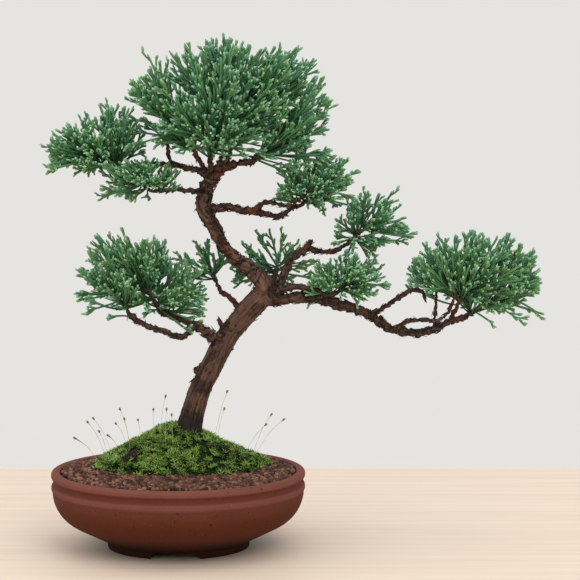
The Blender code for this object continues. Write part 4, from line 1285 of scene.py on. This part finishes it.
def hanging_strands(name, count, root, random):
    """Strands at a pad's lower edge, which start near the limbs under it and hang outwards."""
    ends = pad_surface(name, count, random,
                       lambda places, normals: (np.abs(normals[:, 2] + 0.35) < 0.45) + 1e-6)[0]
    start = nearest_wood(root + 0.4 * (ends - root))
    too_far = size_of(start - ends) > SKIRT_FROM_WOOD
    start = np.where(too_far, ends + 0.55 * (root - ends), start)
    away = ends - start
    reach = np.clip(1.1 * size_of(away), *SKIRT_REACH)
    start = start + away * random.uniform(0.0, 0.35, (count, 1))
    start = start + random.normal(0, 1.5 * MM, away.shape)
    heading = unit(unit(away) * (1, 1, 0.6) - (0, 0, 0.12) + random.normal(0, 0.24, away.shape))
    control = start + heading * reach * 0.5 + random.normal(0, 0.04, away.shape) * reach
    return start, control, start + heading * reach, reach


def pad_strands(name, count, brushes, base, random):
    """All of a pad's strands, shortened to stay in its box, and the ends of its brushes' twigs."""
    root = np.array(base, float) * MM + (*pot_axis[:2], soil_high.z)
    brushed, twigs = brush_strands(name, count, brushes, root, random)
    extra = int(SKIRT_SHARE * count)
    hanging = hanging_strands(name, extra, root, random)
    start, control, end, reach = (np.concatenate(pair) for pair in zip(brushed, hanging))
    late = np.concatenate([np.zeros(count), random.uniform(0.4, 0.75, extra)])
    pad_low, pad_high = (np.array(corner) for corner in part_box(f"foliage_{name}"))
    floor = pad_low - PAD_EDGE - (late > 0)[:, None] * (0, 0, SKIRT_DROP)
    low = np.maximum(floor, tree_low + TIP_ROOM)
    high = np.minimum(pad_high + PAD_EDGE, tree_high - TIP_ROOM)
    share = room_share(start, end, low, high, random)
    strands = (start, start + share * (control - start), start + share * (end - start))
    return strands, (reach * share)[:, 0], late, twigs


def cord_batch(cord, paths, widths, tips, tint):
    """Copies of a cord along these paths, with how near its tip each point is, and each one's tint."""
    return cord, laid(cord, *paths, widths), np.broadcast_to(tips, (len(widths), len(cord[0]))), tint


def foliage_pad(name, count, brushes, parts, base, seed):
    """The pieces of one pad: its forked leafy cords, and the young twigs that they grow from."""
    random = np.random.default_rng(seed)
    strands, reach, late, (joint, origin) = pad_strands(name, count, brushes, base, random)
    count = len(reach)
    parents = (*strands, random.normal(size=(count, 3)))
    tint = random.uniform(0, 1, (count, 1))
    widths = CORD_RADIUS * random.uniform(0.85, 1.15, count)
    batches = [cord_batch(MAIN_CORD, parents, widths, 0.75 * MAIN_CORD[0][:, 2], tint)]
    for index, side_share in enumerate(SIDE_SHARES):
        hand = 1 if index % 2 else -1
        shares = np.clip(side_share + random.normal(0, 0.025, count), 0.1, 0.98)
        shares += late * (1 - shares)
        length = (17.5 - 10.5 * shares) * MM * random.uniform(0.6, 1.2, count) * (reach / USUAL_REACH) ** 0.5
        branch = forked(parents, shares, hand, SIDE_ANGLE, length, random)
        widths = SIDE_RADIUS * random.uniform(0.85, 1.15, count)
        tips = 0.25 + 0.65 * shares[:, None] * SIDE_CORD[0][:, 2]
        batches.append(cord_batch(SIDE_CORD, branch, widths, tips, tint))
        shares = np.clip(FORK_SHARE + random.normal(0, 0.06, count), 0.2, 0.98)
        length = length * random.uniform(0.2, 0.45, count) + 2.0 * MM
        twiglet = forked(branch, shares, hand, FORK_ANGLE, length, random)
        widths = TIP_RADIUS * random.uniform(0.85, 1.2, count)
        own_tint = tint + random.normal(0, 0.1, (count, 1))
        batches.append(cord_batch(TIP_CORD, twiglet, widths, 0.45 + 0.55 * TIP_CORD[0][:, 2], own_tint))
    order = np.argsort(strands[2][:, 0], kind="stable")
    pieces = []
    for part, chosen in enumerate(np.array_split(order, parts)):
        batch = [(cord, points[chosen], {"tip": tips[chosen], "tint": tints[chosen]})
                 for cord, points, tips, tints in batches]
        label = f"shoots_{name}_{part + 1}" if parts > 1 else f"shoots_{name}"
        pieces.append(joined_copies(label, batch, LEAF_FINISH))
    bend = 0.5 * (joint + origin) - (0, 0, 2 * MM) + random.normal(0, 2 * MM, joint.shape)
    widths = TWIG_RADIUS * random.uniform(0.8, 1.3, brushes)
    beyond = origin + 0.15 * (origin - joint)
    twigs = laid(TWIG_CORD, joint, bend, beyond, random.normal(size=joint.shape), widths)
    pieces.append(joined_copies(f"twigs_{name}", [(TWIG_CORD, twigs, {})], TWIG_FINISH))
    for piece in pieces:
        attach(piece, "root")
        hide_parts(f"foliage_{name}")


for seed, (name, (count, brushes, parts, base)) in enumerate(PADS.items()):
    foliage_pad(name, count, brushes, parts, base, 100 + seed)
